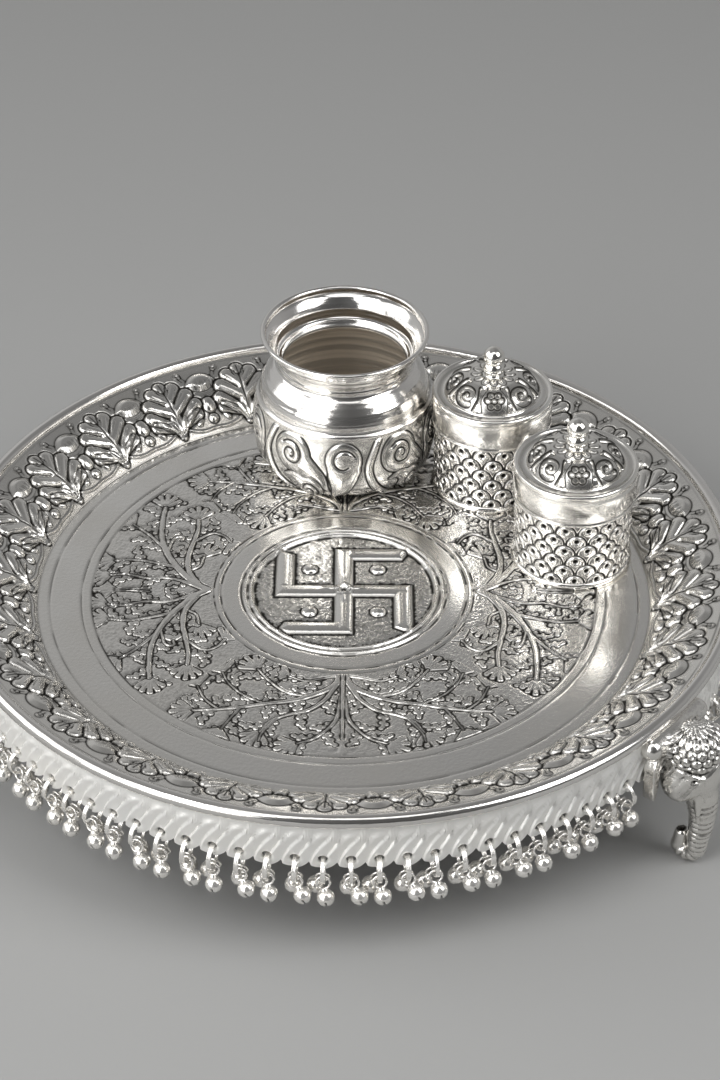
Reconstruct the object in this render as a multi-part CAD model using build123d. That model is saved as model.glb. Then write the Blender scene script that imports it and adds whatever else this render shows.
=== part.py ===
"""Puja thali: an embossed round tray on three elephant-head feet, with a bell fringe, a kalash and two lidded boxes.

Millimetres. The origin is on the tray's axis at table level, +Z is up and -Y is the front.
Angles are measured from +X towards +Y. A piece that repeats round the tray is modelled in a local frame
whose +Y points outwards from the tray's axis, and is then turned to its angle.
"""
import os
from math import asin, cos, degrees, hypot, radians, sin, sqrt

from build123d import *

# Tray dish: flat floor, flared border wall and a low ring round the central medallion
STAND_HEIGHT = 38.0
SHEET = 1.2
FLOOR_RADIUS = 97.4
WALL_TOP_RADIUS = 121.0
WALL_RISE = 13.7
WALL_CROWN = 2.0
MEDALLION_RADIUS = 30.5
MEDALLION_RING_WIDTH = 3.8
MEDALLION_RING_HEIGHT = 0.5

# Swastika, the traditional auspicious mark, embossed in the medallion with its four dots
MARK_HALF = 21.8
MARK_ARM = 5.8
MARK_SLANT = 0.55
MARK_RISE = 0.8
MARK_BEVEL = 0.6
DOT_OFFSET = 10.9
DOT_RADIUS = 2.5
DOT_RISE = 1.1

# Acanthus leaves embossed on the border wall: lobes by distance sideways, distance up the wall and radius
LEAVES = 25
LEAF_ANGLE = -92.3
LEAF_RISE = 1.2
LEAF_BASE = 4.5
LEAF_LOBES = ((0.0, 22.0, 2.4), (4.0, 20.2, 2.6), (7.2, 16.4, 2.7), (8.8, 12.0, 2.5), (8.2, 8.2, 2.0))

# Rolled edge
BEAD_RADIUS = 2.2
BEAD_SET_OUT = 1.8
BEAD_SINK = 0.3

# Skirt: scalloped and pierced strip under the rolled edge
SKIRT_SET_OUT = 0.2
SKIRT_SHEET = 0.8
SKIRT_DROP = 3.6
SCALLOPS = 96
SCALLOP_DEPTH = 1.8
SCALLOP_FLAT = 0.05
HOLE_RADIUS = 1.5
HOLE_EDGE = 3.0

# Bell fringe: a jump ring in each hole, two slit bells on each ring
RING_RADIUS = 4.1
RING_WIRE = 0.8
RING_WIDTH = 1.8
BELL_RADIUS = 2.75
BELL_WALL = 0.45
BELL_SLIT = 0.5
BELL_SLIT_TOP = 0.6
LOOP_WIRE = 0.35
LOOP_DROP = 0.5
LOOP_CLEARANCE = 0.12
LOOP_SEAT = 0.05
PELLET_RADIUS = 1.0
PELLET_CLEARANCE = 0.1
BELL_GAP = 0.3
PAIR_GAP = 0.8

# Feet: cast elephant heads that stand on the curl of the trunk
FOOT_ANGLE = -38.0
FOOT_NAMES = ("front_right", "back", "left")
ARC_NAMES = ("right", "left", "front")
EMPTY_SCALLOPS = 4
HEAD_RADIUS = 9.8
HEAD_OUT = 8.6
HEAD_LIFT = 1.0
BROW_RADIUS = 8.2
BROW_OUT = 9.6
BROW_LIFT = 6.2
SHOULDER_RADIUS = 4.2
SHOULDER_LENGTH = 22.0
SHOULDER_OUT = 1.5
SHOULDER_LIFT = 8.4
TRUNK_TOP_RADIUS = 6.2
TRUNK_UPPER_RADIUS = 4.4
TRUNK_LOWER_RADIUS = 3.3
TRUNK_END_RADIUS = 2.7
TRUNK_TIP_RADIUS = 2.2
TRUNK_TIP_LENGTH = 2.5
TRUNK_TOP_OUT = 10.6
TRUNK_TOP_DROP = 5.0
TRUNK_OUT = 12.8
TRUNK_BULGE = 0.8
CURL_RADIUS = 3.3
CURL_ANGLE = 150.0
SOLE_DEPTH = 0.4
EAR_THICKNESS = 3.0
EAR_INNER = 8.0
EAR_OUTER = 15.0
EAR_TIP = 12.8
EAR_TOP_LIFT = 7.0
EAR_TIP_DROP = 9.6
TUSK_RADIUS = 1.3
TUSK_TIP_RADIUS = 0.5
TUSK_LENGTH = 10.0
TUSK_SPREAD = 4.6
TUSK_OUT = 14.6
TUSK_DROP = 8.0
TUSK_SPLAY = 8.0

# Kalash: embossed bowl and spun neck, joined at the ridge round the belly
KALASH_PLACE = (-0.2, 73.0)
KALASH_WALL = 1.0
KALASH_BASE_RADIUS = 20.5
KALASH_HIP_RADIUS = 29.0
KALASH_HIP_HEIGHT = 8.5
KALASH_HIP_BOW = 1.75
KALASH_BELLY_BOW = 1.1
KALASH_JOINT_RADIUS = 28.9
KALASH_JOINT_HEIGHT = 27.2
KALASH_JOINT_TRIM = 1.0
KALASH_SHOULDER_BOW = 1.5
KALASH_NECK_RADIUS = 22.6
KALASH_NECK_HEIGHT = 40.6
KALASH_NECK_BOW = 2.0
KALASH_LIP_RADIUS = 27.4
KALASH_LIP_HEIGHT = 50.9
KALASH_LIP_BEAD = 0.7
KALASH_RIDGE_BEAD = 0.8

# Two lidded boxes, alike
BOX_PLACES = {"rear": (48.4, 60.2), "front": (73.4, 19.5)}
BOX_WALL = 0.9
CUP_RADIUS = 18.7
CUP_HEIGHT = 35.5
FOOT_RING_WIDTH = 0.8
FOOT_RING_HEIGHT = 2.2
LID_CLEARANCE = 0.3
LID_DEPTH = 10.3
LID_TOP = 0.9
LID_BEAD_WIDTH = 1.9
LID_BEAD_HEIGHT = 0.7
DOME_RADIUS = 15.6
DOME_FLAT_RADIUS = 7.5
DOME_RISE = 6.3
DOME_BOW = 1.75
KNOB_SEAT_RADIUS = 3.4
KNOB_NECK_RADIUS = 2.6
KNOB_FLARE_HEIGHT = 0.6
KNOB_FLARE_BOW = 0.15
KNOB_BULB_HEIGHT = 4.0
KNOB_BULB_BOW = 0.9
KNOB_WAIST_RADIUS = 2.7
KNOB_BALL_RADIUS = 3.55

# Worked out from the sizes above
wall_top = (WALL_TOP_RADIUS, STAND_HEIGHT + WALL_RISE)
bead_ring_radius = WALL_TOP_RADIUS + BEAD_SET_OUT
bead_height = STAND_HEIGHT + WALL_RISE - BEAD_SINK
skirt_radius = bead_ring_radius + SKIRT_SET_OUT
skirt_outer = skirt_radius + SKIRT_SHEET / 2
skirt_bottom = STAND_HEIGHT - SKIRT_DROP
hole_height = skirt_bottom + HOLE_EDGE
pitch_angle = 360.0 / SCALLOPS
foot_angles = [FOOT_ANGLE + 360.0 * i / len(FOOT_NAMES) for i in range(len(FOOT_NAMES))]
pairs_per_arc = (SCALLOPS // len(FOOT_NAMES) - EMPTY_SCALLOPS) // 2

# Loop on a bell: wide enough for the ring's band to pass at any tilt
loop_radius = hypot(RING_WIDTH, RING_WIRE) / 2 + LOOP_DROP + LOOP_CLEARANCE + LOOP_WIRE
bell_centre_drop = loop_radius + LOOP_SEAT + BELL_RADIUS
bell_reach = LOOP_DROP + bell_centre_drop

# The four bells of two neighbouring rings hang in zigzag, in steps along the skirt and in two rows across it
hole_chord = 2 * skirt_radius * sin(radians(pitch_angle / 2))
pair_chord = 2 * skirt_radius * sin(radians(pitch_angle))
bell_step = (pair_chord - PAIR_GAP - 2 * BELL_RADIUS) / 3
bell_row = sqrt(max(0.0, (2 * BELL_RADIUS + BELL_GAP) ** 2 - bell_step**2)) / 2
least_spread = degrees(asin((LOOP_WIRE + BELL_GAP / 2) / (RING_RADIUS + LOOP_DROP - loop_radius)))

lid_radius = CUP_RADIUS + LID_CLEARANCE + BOX_WALL
lid_bottom = CUP_HEIGHT - LID_DEPTH
lid_top = CUP_HEIGHT + LID_TOP
dome_top = lid_top + DOME_RISE


def bowed(start, end, rise):
    """Arc from start to end that bows by rise to the right of the straight line."""
    run = Vector(*end) - Vector(*start)
    side = Vector(run.Y, -run.X) * (rise / run.length)
    middle = (Vector(*start) + Vector(*end)) / 2 + side
    return ThreePointArc(start, middle, end)


def sheet_section(outline, wall, side):
    """Section of a sheet of the given thickness that follows an outline of radius and height."""
    return make_face(offset(Wire(outline), amount=wall, side=side, closed=True).edges())


def spun(section):
    """Solid spun round the Z axis from a section of radius and height."""
    return revolve(Plane.XZ * section, Axis.Z)


def ring_bead(radius, height, bead):
    """Round wire bent into a level ring."""
    return Pos(0, 0, height) * Torus(radius, bead)


def turned(angle):
    """Frame whose +Y points outwards at an angle round the tray."""
    return Rot(0, 0, angle - 90)


def rim_bead():
    return ring_bead(bead_ring_radius, bead_height, BEAD_RADIUS)


def mark():
    """Swastika with bevelled edges and slanting ends, rooted in the tray's sheet."""
    half_arm = MARK_ARM / 2
    elbow = MARK_HALF - MARK_ARM
    arm = [
        Vector(half_arm, elbow),
        Vector(MARK_HALF - MARK_ARM * MARK_SLANT, elbow),
        Vector(MARK_HALF, MARK_HALF),
        Vector(-half_arm, MARK_HALF),
        Vector(-half_arm, half_arm),
    ]
    corners = [corner.rotate(Axis.Z, 90 * quarter) for quarter in range(4) for corner in arm]
    outline = make_face(Polyline(*corners, close=True))
    plate = Pos(0, 0, STAND_HEIGHT - SHEET / 2) * extrude(outline, SHEET / 2 + MARK_RISE)
    return chamfer(plate.faces().sort_by(Axis.Z)[-1].edges(), MARK_BEVEL)


def mark_dots():
    """Four low domes between the arms of the mark, rooted in the tray's sheet."""
    ball_radius = (DOT_RADIUS**2 + DOT_RISE**2) / (2 * DOT_RISE)
    ball = Pos(0, 0, DOT_RISE - ball_radius) * Sphere(ball_radius)
    above_root = Pos(0, 0, ball_radius - SHEET / 2) * Cylinder(2 * ball_radius, 2 * ball_radius)
    dot = Pos(DOT_OFFSET, DOT_OFFSET, STAND_HEIGHT) * (ball & above_root)
    return [dot.rotate(Axis.Z, 90 * quarter) for quarter in range(4)]


def leaf_outline():
    """Outline of an acanthus leaf: round lobes about a body that runs down to a point."""
    left = [(-side, up) for side, up, _ in LEAF_LOBES[:0:-1]]
    right = [(side, up) for side, up, _ in LEAF_LOBES]
    leaf = make_face(Polyline((0, LEAF_BASE), *left, *right, close=True))
    for side, up, radius in LEAF_LOBES:
        leaf = leaf + [Pos(sign * side, up) * Circle(radius) for sign in (-1, 1)]
    return leaf


def wall_leaves():
    """Leaves that swell out of the border wall, rooted in its sheet."""
    wall_foot = (FLOOR_RADIUS, STAND_HEIGHT)
    swell = make_face([
        bowed(wall_foot, wall_top, SHEET / 2 - WALL_CROWN),
        bowed(wall_top, wall_foot, WALL_CROWN + LEAF_RISE),
    ])
    across_wall = (0, -WALL_RISE, WALL_TOP_RADIUS - FLOOR_RADIUS)
    wall_plane = Plane((0, *wall_foot), x_dir=(1, 0, 0), z_dir=across_wall)
    leaf = spun(swell) & extrude(wall_plane * leaf_outline(), WALL_RISE, both=True)
    return [leaf.rotate(Axis.Z, LEAF_ANGLE - 90 + 360.0 * i / LEAVES) for i in range(LEAVES)]


def tray_dish():
    inner = MEDALLION_RADIUS - MEDALLION_RING_WIDTH / 2
    outer = MEDALLION_RADIUS + MEDALLION_RING_WIDTH / 2
    top_face = [
        Line((0, STAND_HEIGHT), (inner, STAND_HEIGHT)),
        bowed((inner, STAND_HEIGHT), (outer, STAND_HEIGHT), -MEDALLION_RING_HEIGHT),
        Line((outer, STAND_HEIGHT), (FLOOR_RADIUS, STAND_HEIGHT)),
        bowed((FLOOR_RADIUS, STAND_HEIGHT), wall_top, -WALL_CROWN),
        Line(wall_top, (bead_ring_radius, STAND_HEIGHT + WALL_RISE)),
    ]
    dish = spun(sheet_section(top_face, SHEET, Side.RIGHT)) - rim_bead()
    return dish.fuse(mark(), *mark_dots(), *wall_leaves())


def scallop_notch():
    """Space between two scallops, cut outwards through the skirt."""
    half = hole_chord / 2
    depth = SCALLOP_DEPTH + SCALLOP_FLAT
    radius = (half**2 + depth**2) / (2 * depth)
    cusp = (0, skirt_bottom + SCALLOP_DEPTH)
    reach = half - sqrt(radius**2 - (radius - SCALLOP_FLAT) ** 2)
    below = skirt_bottom - SCALLOP_DEPTH
    rise = radius - sqrt(radius**2 - (hypot(reach, SCALLOP_DEPTH) / 2) ** 2)
    right = bowed(cusp, (reach, skirt_bottom), -rise)
    left = bowed((-reach, skirt_bottom), cusp, -rise)
    floor = Polyline((reach, skirt_bottom), (reach, below), (-reach, below), (-reach, skirt_bottom))
    notch = extrude(Plane.XZ * make_face([right, floor, left]), skirt_radius, both=True)
    keep = Pos(0, skirt_radius, 0) * Box(4 * half, 8 * SKIRT_SHEET, 4 * STAND_HEIGHT)
    return notch & keep


def skirt():
    height = bead_height - skirt_bottom
    band = Cylinder(skirt_outer, height) - Cylinder(skirt_outer - SKIRT_SHEET, height)
    band = Pos(0, 0, skirt_bottom + height / 2) * band
    notch = scallop_notch()
    cutters = [turned(foot_angles[0] + i * pitch_angle) * notch for i in range(SCALLOPS)]
    hole = Pos(0, skirt_radius, hole_height) * Rot(90, 0, 0) * Cylinder(HOLE_RADIUS, 8 * SKIRT_SHEET)
    for angle in foot_angles:
        for pair in range(pairs_per_arc):
            centre = pair_angle(angle, pair)
            cutters += [turned(centre + side * pitch_angle / 2) * hole for side in (-1, 1)]
    return band - cutters - rim_bead()


def pair_angle(foot_angle, pair):
    """Angle of the middle of a pair of neighbouring holes, counted from the foot before it."""
    return foot_angle + (EMPTY_SCALLOPS / 2 + 2 * pair + 1) * pitch_angle


def jump_ring():
    """Band of a wound jump ring, in the plane across the skirt, hung with its wire in the middle of the hole."""
    outer = RING_RADIUS + RING_WIRE / 2
    band = Cylinder(outer, RING_WIDTH) - Cylinder(outer - RING_WIRE, RING_WIDTH)
    return Pos(0, 0, -RING_RADIUS) * Rot(0, 90, 0) * band


def bell():
    """Slit bell hanging along -Z from a wire loop centred on the origin."""
    ball = Sphere(BELL_RADIUS) - Sphere(BELL_RADIUS - BELL_WALL)
    slot_height = BELL_RADIUS - BELL_SLIT_TOP
    slot = Pos(0, 0, -BELL_SLIT_TOP - slot_height / 2) * Box(3 * BELL_RADIUS, BELL_SLIT, slot_height)
    ball = ball - [slot, Rot(0, 0, 90) * slot]
    loop = Rot(90, 0, 0) * Torus(loop_radius, LOOP_WIRE)
    return Pos(0, 0, -bell_centre_drop) * ball + loop


def pellet():
    """Loose ball at the bottom of a bell, in the bell's frame."""
    drop = BELL_RADIUS - BELL_WALL - PELLET_RADIUS - PELLET_CLEARANCE
    return Pos(0, 0, -bell_centre_drop - drop) * Sphere(PELLET_RADIUS)


def bell_place(shift, row):
    """Frame of a bell on its ring: shift along the skirt, row +1 outside it or -1 inside it."""
    tilt = degrees(asin(shift / bell_reach))
    spread = degrees(asin(bell_row / (RING_RADIUS + bell_reach * cos(radians(tilt)))))
    to_wire = Pos(0, 0, -RING_RADIUS) * Rot(row * max(spread, least_spread), 0, 0) * Pos(0, 0, -RING_RADIUS)
    return to_wire * Rot(0, -tilt, 0) * Pos(0, 0, -LOOP_DROP)


def bell_pair(ring, ball, shot):
    """Two neighbouring rings with their four bells and pellets, in the frame of the pair's middle."""
    solids = []
    for number in range(4):
        side = -1 if number < 2 else 1
        row = 1 if number % 2 == 0 else -1
        hole = Rot(0, 0, -side * pitch_angle / 2) * Pos(0, skirt_radius, hole_height)
        if row == 1:
            solids.append(hole * ring)
        shift = (number - 1.5) * bell_step - side * hole_chord / 2
        place = hole * bell_place(shift, row)
        solids += [place * ball, place * shot]
    return solids


def trunk():
    """Tapered trunk down to its curl, cut flat where it stands."""
    curl_height = CURL_RADIUS + TRUNK_END_RADIUS - SOLE_DEPTH
    curl_out = skirt_outer + TRUNK_OUT - CURL_RADIUS
    top = Vector(0, skirt_outer + TRUNK_TOP_OUT, STAND_HEIGHT - TRUNK_TOP_DROP)
    end = Vector(0, skirt_outer + TRUNK_OUT, curl_height)
    drop = (top - end) / 3
    upper = top - drop + Vector(0, 2 * TRUNK_BULGE, 0)
    lower = end + drop + Vector(0, TRUNK_BULGE, 0)
    sections = [
        Plane(top, z_dir=upper - top) * Circle(TRUNK_TOP_RADIUS),
        Plane(upper, z_dir=lower - top) * Circle(TRUNK_UPPER_RADIUS),
        Plane(lower, z_dir=end - upper) * Circle(TRUNK_LOWER_RADIUS),
        Plane(end, z_dir=(0, 0, -1)) * Circle(TRUNK_END_RADIUS),
    ]
    curl_axis = Axis((0, curl_out, curl_height), (-1, 0, 0))
    curl = revolve(sections[-1], curl_axis, CURL_ANGLE)
    tip = Pos(0, 0, TRUNK_TIP_LENGTH / 2) * Cone(TRUNK_END_RADIUS, TRUNK_TIP_RADIUS, TRUNK_TIP_LENGTH)
    curl_frame = Pos(0, curl_out, curl_height) * Rot(-CURL_ANGLE, 0, 0)
    tip = curl_frame * Pos(0, CURL_RADIUS, 0) * Rot(180, 0, 0) * tip
    ground = Pos(0, curl_out, -STAND_HEIGHT / 2) * Box(STAND_HEIGHT, STAND_HEIGHT, STAND_HEIGHT)
    return loft(sections) + curl + tip - ground


def ear(side):
    """Leaf-shaped ear lying against the skirt."""
    top = (side * EAR_INNER, STAND_HEIGHT + EAR_TOP_LIFT)
    tip = (side * EAR_TIP, STAND_HEIGHT - EAR_TIP_DROP)
    outer = (side * EAR_OUTER, (top[1] + tip[1]) / 2 + EAR_THICKNESS)
    leaf = make_face([ThreePointArc(top, outer, tip), bowed(tip, top, side * EAR_THICKNESS / 3)])
    plate = extrude(Plane.XZ * leaf, -EAR_THICKNESS - SKIRT_SHEET)
    return Pos(0, skirt_outer - SKIRT_SHEET, 0) * plate


def tusk(side):
    root = (side * TUSK_SPREAD, skirt_outer + TUSK_OUT, STAND_HEIGHT - TUSK_DROP - TUSK_LENGTH / 2)
    return Pos(*root) * Rot(0, -side * TUSK_SPLAY, 0) * Cone(TUSK_TIP_RADIUS, TUSK_RADIUS, TUSK_LENGTH)


def shoulder():
    """Smooth swelling that joins the head to the rolled edge."""
    half = SHOULDER_LENGTH / 2
    bar = Rot(0, 90, 0) * Cylinder(SHOULDER_RADIUS, SHOULDER_LENGTH)
    ends = [Pos(side * half, 0, 0) * Sphere(SHOULDER_RADIUS) for side in (-1, 1)]
    return Pos(0, skirt_outer + SHOULDER_OUT, STAND_HEIGHT + SHOULDER_LIFT) * (bar + ends)


def elephant_foot():
    """One casting, in the local frame with +Y outwards, seated on the skirt and under the rolled edge."""
    head = Pos(0, skirt_outer + HEAD_OUT, STAND_HEIGHT + HEAD_LIFT) * Sphere(HEAD_RADIUS)
    brow = Pos(0, skirt_outer + BROW_OUT, STAND_HEIGHT + BROW_LIFT) * Sphere(BROW_RADIUS)
    casting = head + brow + trunk() + shoulder()
    for side in (-1, 1):
        casting = casting + ear(side) + tusk(side)
    return casting - Cylinder(skirt_outer, 4 * STAND_HEIGHT) - rim_bead()


def beyond_joint(side):
    """Area that trims a section of the kalash flat at its joint, side +1 above it or -1 below it."""
    middle = KALASH_JOINT_HEIGHT + side * KALASH_LIP_HEIGHT / 2
    return Pos(KALASH_HIP_RADIUS, middle) * Rectangle(2 * KALASH_HIP_RADIUS, KALASH_LIP_HEIGHT)


def kalash_bowl():
    hip = (KALASH_HIP_RADIUS, KALASH_HIP_HEIGHT)
    outline = [
        Line((0, 0), (KALASH_BASE_RADIUS, 0)),
        bowed((KALASH_BASE_RADIUS, 0), hip, KALASH_HIP_BOW),
        bowed(hip, (KALASH_JOINT_RADIUS, KALASH_JOINT_HEIGHT + KALASH_JOINT_TRIM), KALASH_BELLY_BOW),
    ]
    return spun(sheet_section(outline, KALASH_WALL, Side.LEFT) - beyond_joint(1))


def kalash_neck():
    neck = (KALASH_NECK_RADIUS, KALASH_NECK_HEIGHT)
    outline = [
        bowed((KALASH_JOINT_RADIUS, KALASH_JOINT_HEIGHT - KALASH_JOINT_TRIM), neck, KALASH_SHOULDER_BOW),
        bowed(neck, (KALASH_LIP_RADIUS, KALASH_LIP_HEIGHT), -KALASH_NECK_BOW),
    ]
    shell = spun(sheet_section(outline, KALASH_WALL, Side.LEFT) - beyond_joint(-1))
    ridge = ring_bead(KALASH_JOINT_RADIUS, KALASH_JOINT_HEIGHT + KALASH_RIDGE_BEAD, KALASH_RIDGE_BEAD)
    lip = ring_bead(KALASH_LIP_RADIUS - KALASH_LIP_BEAD / 2, KALASH_LIP_HEIGHT, KALASH_LIP_BEAD)
    return shell + ridge + lip


def box_cup():
    inner = CUP_RADIUS - BOX_WALL
    outer_solid = Pos(0, 0, CUP_HEIGHT / 2) * Cylinder(CUP_RADIUS, CUP_HEIGHT)
    return outer_solid - Pos(0, 0, CUP_HEIGHT / 2 + BOX_WALL) * Cylinder(inner, CUP_HEIGHT)


def box_foot_ring():
    """Half-round wire round the foot of a cup."""
    outline = [
        Line((CUP_RADIUS, FOOT_RING_HEIGHT), (CUP_RADIUS, 0)),
        bowed((CUP_RADIUS, 0), (CUP_RADIUS, FOOT_RING_HEIGHT), FOOT_RING_WIDTH),
    ]
    return spun(make_face(outline))


def box_lid():
    """Pull-off lid: band, flat top with a raised edge, and a steep dome with a flat middle for the knob."""
    inner = lid_radius - BOX_WALL
    bead_inner = lid_radius - LID_BEAD_WIDTH
    under = lid_top - LID_TOP
    dome_under = dome_top - LID_TOP
    dome_inner = DOME_RADIUS - LID_TOP
    outline = [
        Polyline((DOME_FLAT_RADIUS, dome_under), (0, dome_under), (0, dome_top), (DOME_FLAT_RADIUS, dome_top)),
        bowed((DOME_FLAT_RADIUS, dome_top), (DOME_RADIUS, lid_top), -DOME_BOW),
        Line((DOME_RADIUS, lid_top), (bead_inner, lid_top)),
        bowed((bead_inner, lid_top), (lid_radius, lid_top), -LID_BEAD_HEIGHT),
        Polyline((lid_radius, lid_top), (lid_radius, lid_bottom), (inner, lid_bottom), (inner, under)),
        Line((inner, under), (dome_inner, under)),
        bowed((dome_inner, under), (DOME_FLAT_RADIUS, dome_under), DOME_BOW),
    ]
    return spun(make_face(outline))


def lid_knob():
    """Turned finial: a flared seat, a squat bulb and a ball."""
    bulb_bottom = dome_top + KNOB_FLARE_HEIGHT
    bulb_top = bulb_bottom + KNOB_BULB_HEIGHT
    ball_height = bulb_top + sqrt(KNOB_BALL_RADIUS**2 - KNOB_WAIST_RADIUS**2)
    ball_top = ball_height + KNOB_BALL_RADIUS
    outline = [
        Line((0, dome_top), (KNOB_SEAT_RADIUS, dome_top)),
        bowed((KNOB_SEAT_RADIUS, dome_top), (KNOB_NECK_RADIUS, bulb_bottom), -KNOB_FLARE_BOW),
        bowed((KNOB_NECK_RADIUS, bulb_bottom), (KNOB_WAIST_RADIUS, bulb_top), KNOB_BULB_BOW),
        ThreePointArc((KNOB_WAIST_RADIUS, bulb_top), (KNOB_BALL_RADIUS, ball_height), (0, ball_top)),
        Line((0, ball_top), (0, dome_top)),
    ]
    return spun(make_face(outline))


def tray_nodes():
    nodes = {"tray_dish": tray_dish(), "rim_bead": rim_bead(), "skirt": skirt()}
    foot = elephant_foot()
    for name, angle in zip(FOOT_NAMES, foot_angles):
        nodes["foot_" + name] = turned(angle) * foot
    return nodes


def bell_nodes():
    ring, ball, shot = jump_ring(), bell(), pellet()
    pair = bell_pair(ring, ball, shot)
    nodes = {}
    for name, angle in zip(ARC_NAMES, foot_angles):
        for number in range(pairs_per_arc):
            place = turned(pair_angle(angle, number))
            nodes[f"bells_{name}_{number + 1:02d}"] = Compound([place * solid for solid in pair])
    return nodes


def standing_nodes():
    on_floor = Pos(*KALASH_PLACE, STAND_HEIGHT)
    nodes = {"kalash_bowl": on_floor * kalash_bowl(), "kalash_neck": on_floor * kalash_neck()}
    pieces = {"cup": box_cup(), "foot_ring": box_foot_ring(), "lid": box_lid(), "knob": lid_knob()}
    for box, place in BOX_PLACES.items():
        for piece, shape in pieces.items():
            nodes[f"{piece}_{box}"] = Pos(*place, STAND_HEIGHT) * shape
    return nodes


def main():
    os.makedirs("parts", exist_ok=True)
    for name, shape in (tray_nodes() | bell_nodes() | standing_nodes()).items():
        export_step(shape, f"parts/{name}.step")


if __name__ == "__main__":
    main()
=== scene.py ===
"""Looks of the puja thali: embossed tray, bell fringe, elephant feet, kalash and lidded boxes.

Sizes are in millimetres in the CAD model's frame and are turned into metres where a mesh is made.
"""
from math import asin, atan2, cos, hypot, pi, radians, sin, sqrt

import bpy
import numpy as np
import openvdb
from mathutils import Matrix, Vector


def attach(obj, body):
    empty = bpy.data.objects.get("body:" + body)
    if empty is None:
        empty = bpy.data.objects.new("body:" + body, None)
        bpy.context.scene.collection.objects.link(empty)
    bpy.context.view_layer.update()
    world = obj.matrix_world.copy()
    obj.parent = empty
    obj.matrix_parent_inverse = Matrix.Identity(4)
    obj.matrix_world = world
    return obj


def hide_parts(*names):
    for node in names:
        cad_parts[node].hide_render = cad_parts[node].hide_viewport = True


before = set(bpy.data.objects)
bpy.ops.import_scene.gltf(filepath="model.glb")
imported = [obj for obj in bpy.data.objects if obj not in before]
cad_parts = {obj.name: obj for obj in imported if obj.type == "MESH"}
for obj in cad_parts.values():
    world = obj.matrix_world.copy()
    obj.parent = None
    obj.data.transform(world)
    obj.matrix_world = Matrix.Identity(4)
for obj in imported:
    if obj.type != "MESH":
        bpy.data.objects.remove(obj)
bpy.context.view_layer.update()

# Metres in a millimetre, angle from which an edge is sharp, and radius at which turned faces end
MM = 0.001
SHARP_DEGREES = 65.0
AXIS_R = 0.02

# Finish of the silver: its dark tarnish and painted shade, its patches of less polish and the depth of its
# grain in metres
TARNISH_AND_SHADE_GAIN = 1.08
TARNISH_AND_SHADE_CONTRAST = 1.5
TARNISH_AND_SHADE_COLOUR = (0.028, 0.026, 0.023)
TARNISH_ROUGHNESS = 0.55
PATCH_SCALE = 38.0
PATCH_TINT = (0.90, 0.88, 0.84)
SMOOTHEST = 0.75
ROUGHEST = 1.35
GRAIN_DEPTH = 0.0004

# Tray, as in the CAD model
FLOOR_Z = 38.0
SHEET = 1.2
FLOOR_R = 97.4
WALL_TOP_R = 121.0
WALL_TOP_Z = 51.7
WALL_CROWN = 2.0
WALL_ROWS = 97
WALL_COLUMNS = 2000
UNDERSIDE_ROWS = 5

# Circles of the tray's ornament
FIELD_R = 28.6
PLAIN_R = 39.3
SPRAY_IN_R = 41.8
SPRAY_SPLITS = (51.5, 61.5, 72.0)
SPRAY_OUT_R = 80.3
LINE_R = 83.5
EDGE_LINE_R = 93.6

# Sprays: leaf length and spacing, stem width, rise of the leaves, roughness of the ground, depth of lines
SPRAY_LEAF = 7.6
SPRAY_LEAF_GAP = 4.6
SPRAY_STEM = 1.2
SPRAY_RISE = 0.20
SPRAY_PUNCH = 0.06
SPRAY_EDGE = 0.32
SPRAY_VEIN = 0.08
SPRAY_NOTCH = 0.25

# Stems of half a spray at front and back: points (sideways, out from the tray's axis), start and end width
FRONT_SPRAY = [
    ([(0.6, 42.3), (2.6, 47.0), (8.0, 51.1), (15.2, 54.2), (23.8, 55.8),
      (30.9, 57.4), (37.5, 58.4), (45.3, 59.0)], 1.1, 0.5),
    ([(11.3, 52.2), (17.3, 50.2), (22.1, 45.6), (26.2, 39.4)], 0.6, 0.4),
    ([(0.8, 42.6), (5.5, 43.6), (11.5, 45.0), (16.8, 42.6)], 0.5, 0.3),
    ([(2.1, 47.0), (5.4, 53.7), (10.5, 58.8), (16.4, 60.8), (21.6, 63.8), (24.7, 68.8)], 0.8, 0.4),
    ([(0.4, 52.6), (1.6, 61.7), (3.9, 66.7), (8.4, 71.7), (13.5, 74.0)], 0.7, 0.4),
    ([(20.0, 62.8), (24.0, 69.0), (25.0, 73.0)], 0.5, 0.3),
    ([(30.9, 57.4), (34.0, 62.9), (36.5, 67.5)], 0.5, 0.3),
    ([(37.5, 58.4), (42.0, 53.5), (44.5, 47.5)], 0.5, 0.3),
    ([(23.8, 55.8), (30.0, 52.0), (35.0, 46.0), (37.0, 41.0)], 0.5, 0.3),
]

# Straight middle stem of that spray, and the bud on it: foot, middle tip and side tip
FRONT_STEM = ((0.0, 42.0), (0.0, 72.0))
FRONT_STEM_WIDTHS = (0.8, 0.6)
FRONT_BUD = ((0.0, 71.5), (0.0, 78.2), (2.6, 76.0))
FRONT_BUD_WIDTHS = (0.8, 1.3)

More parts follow.
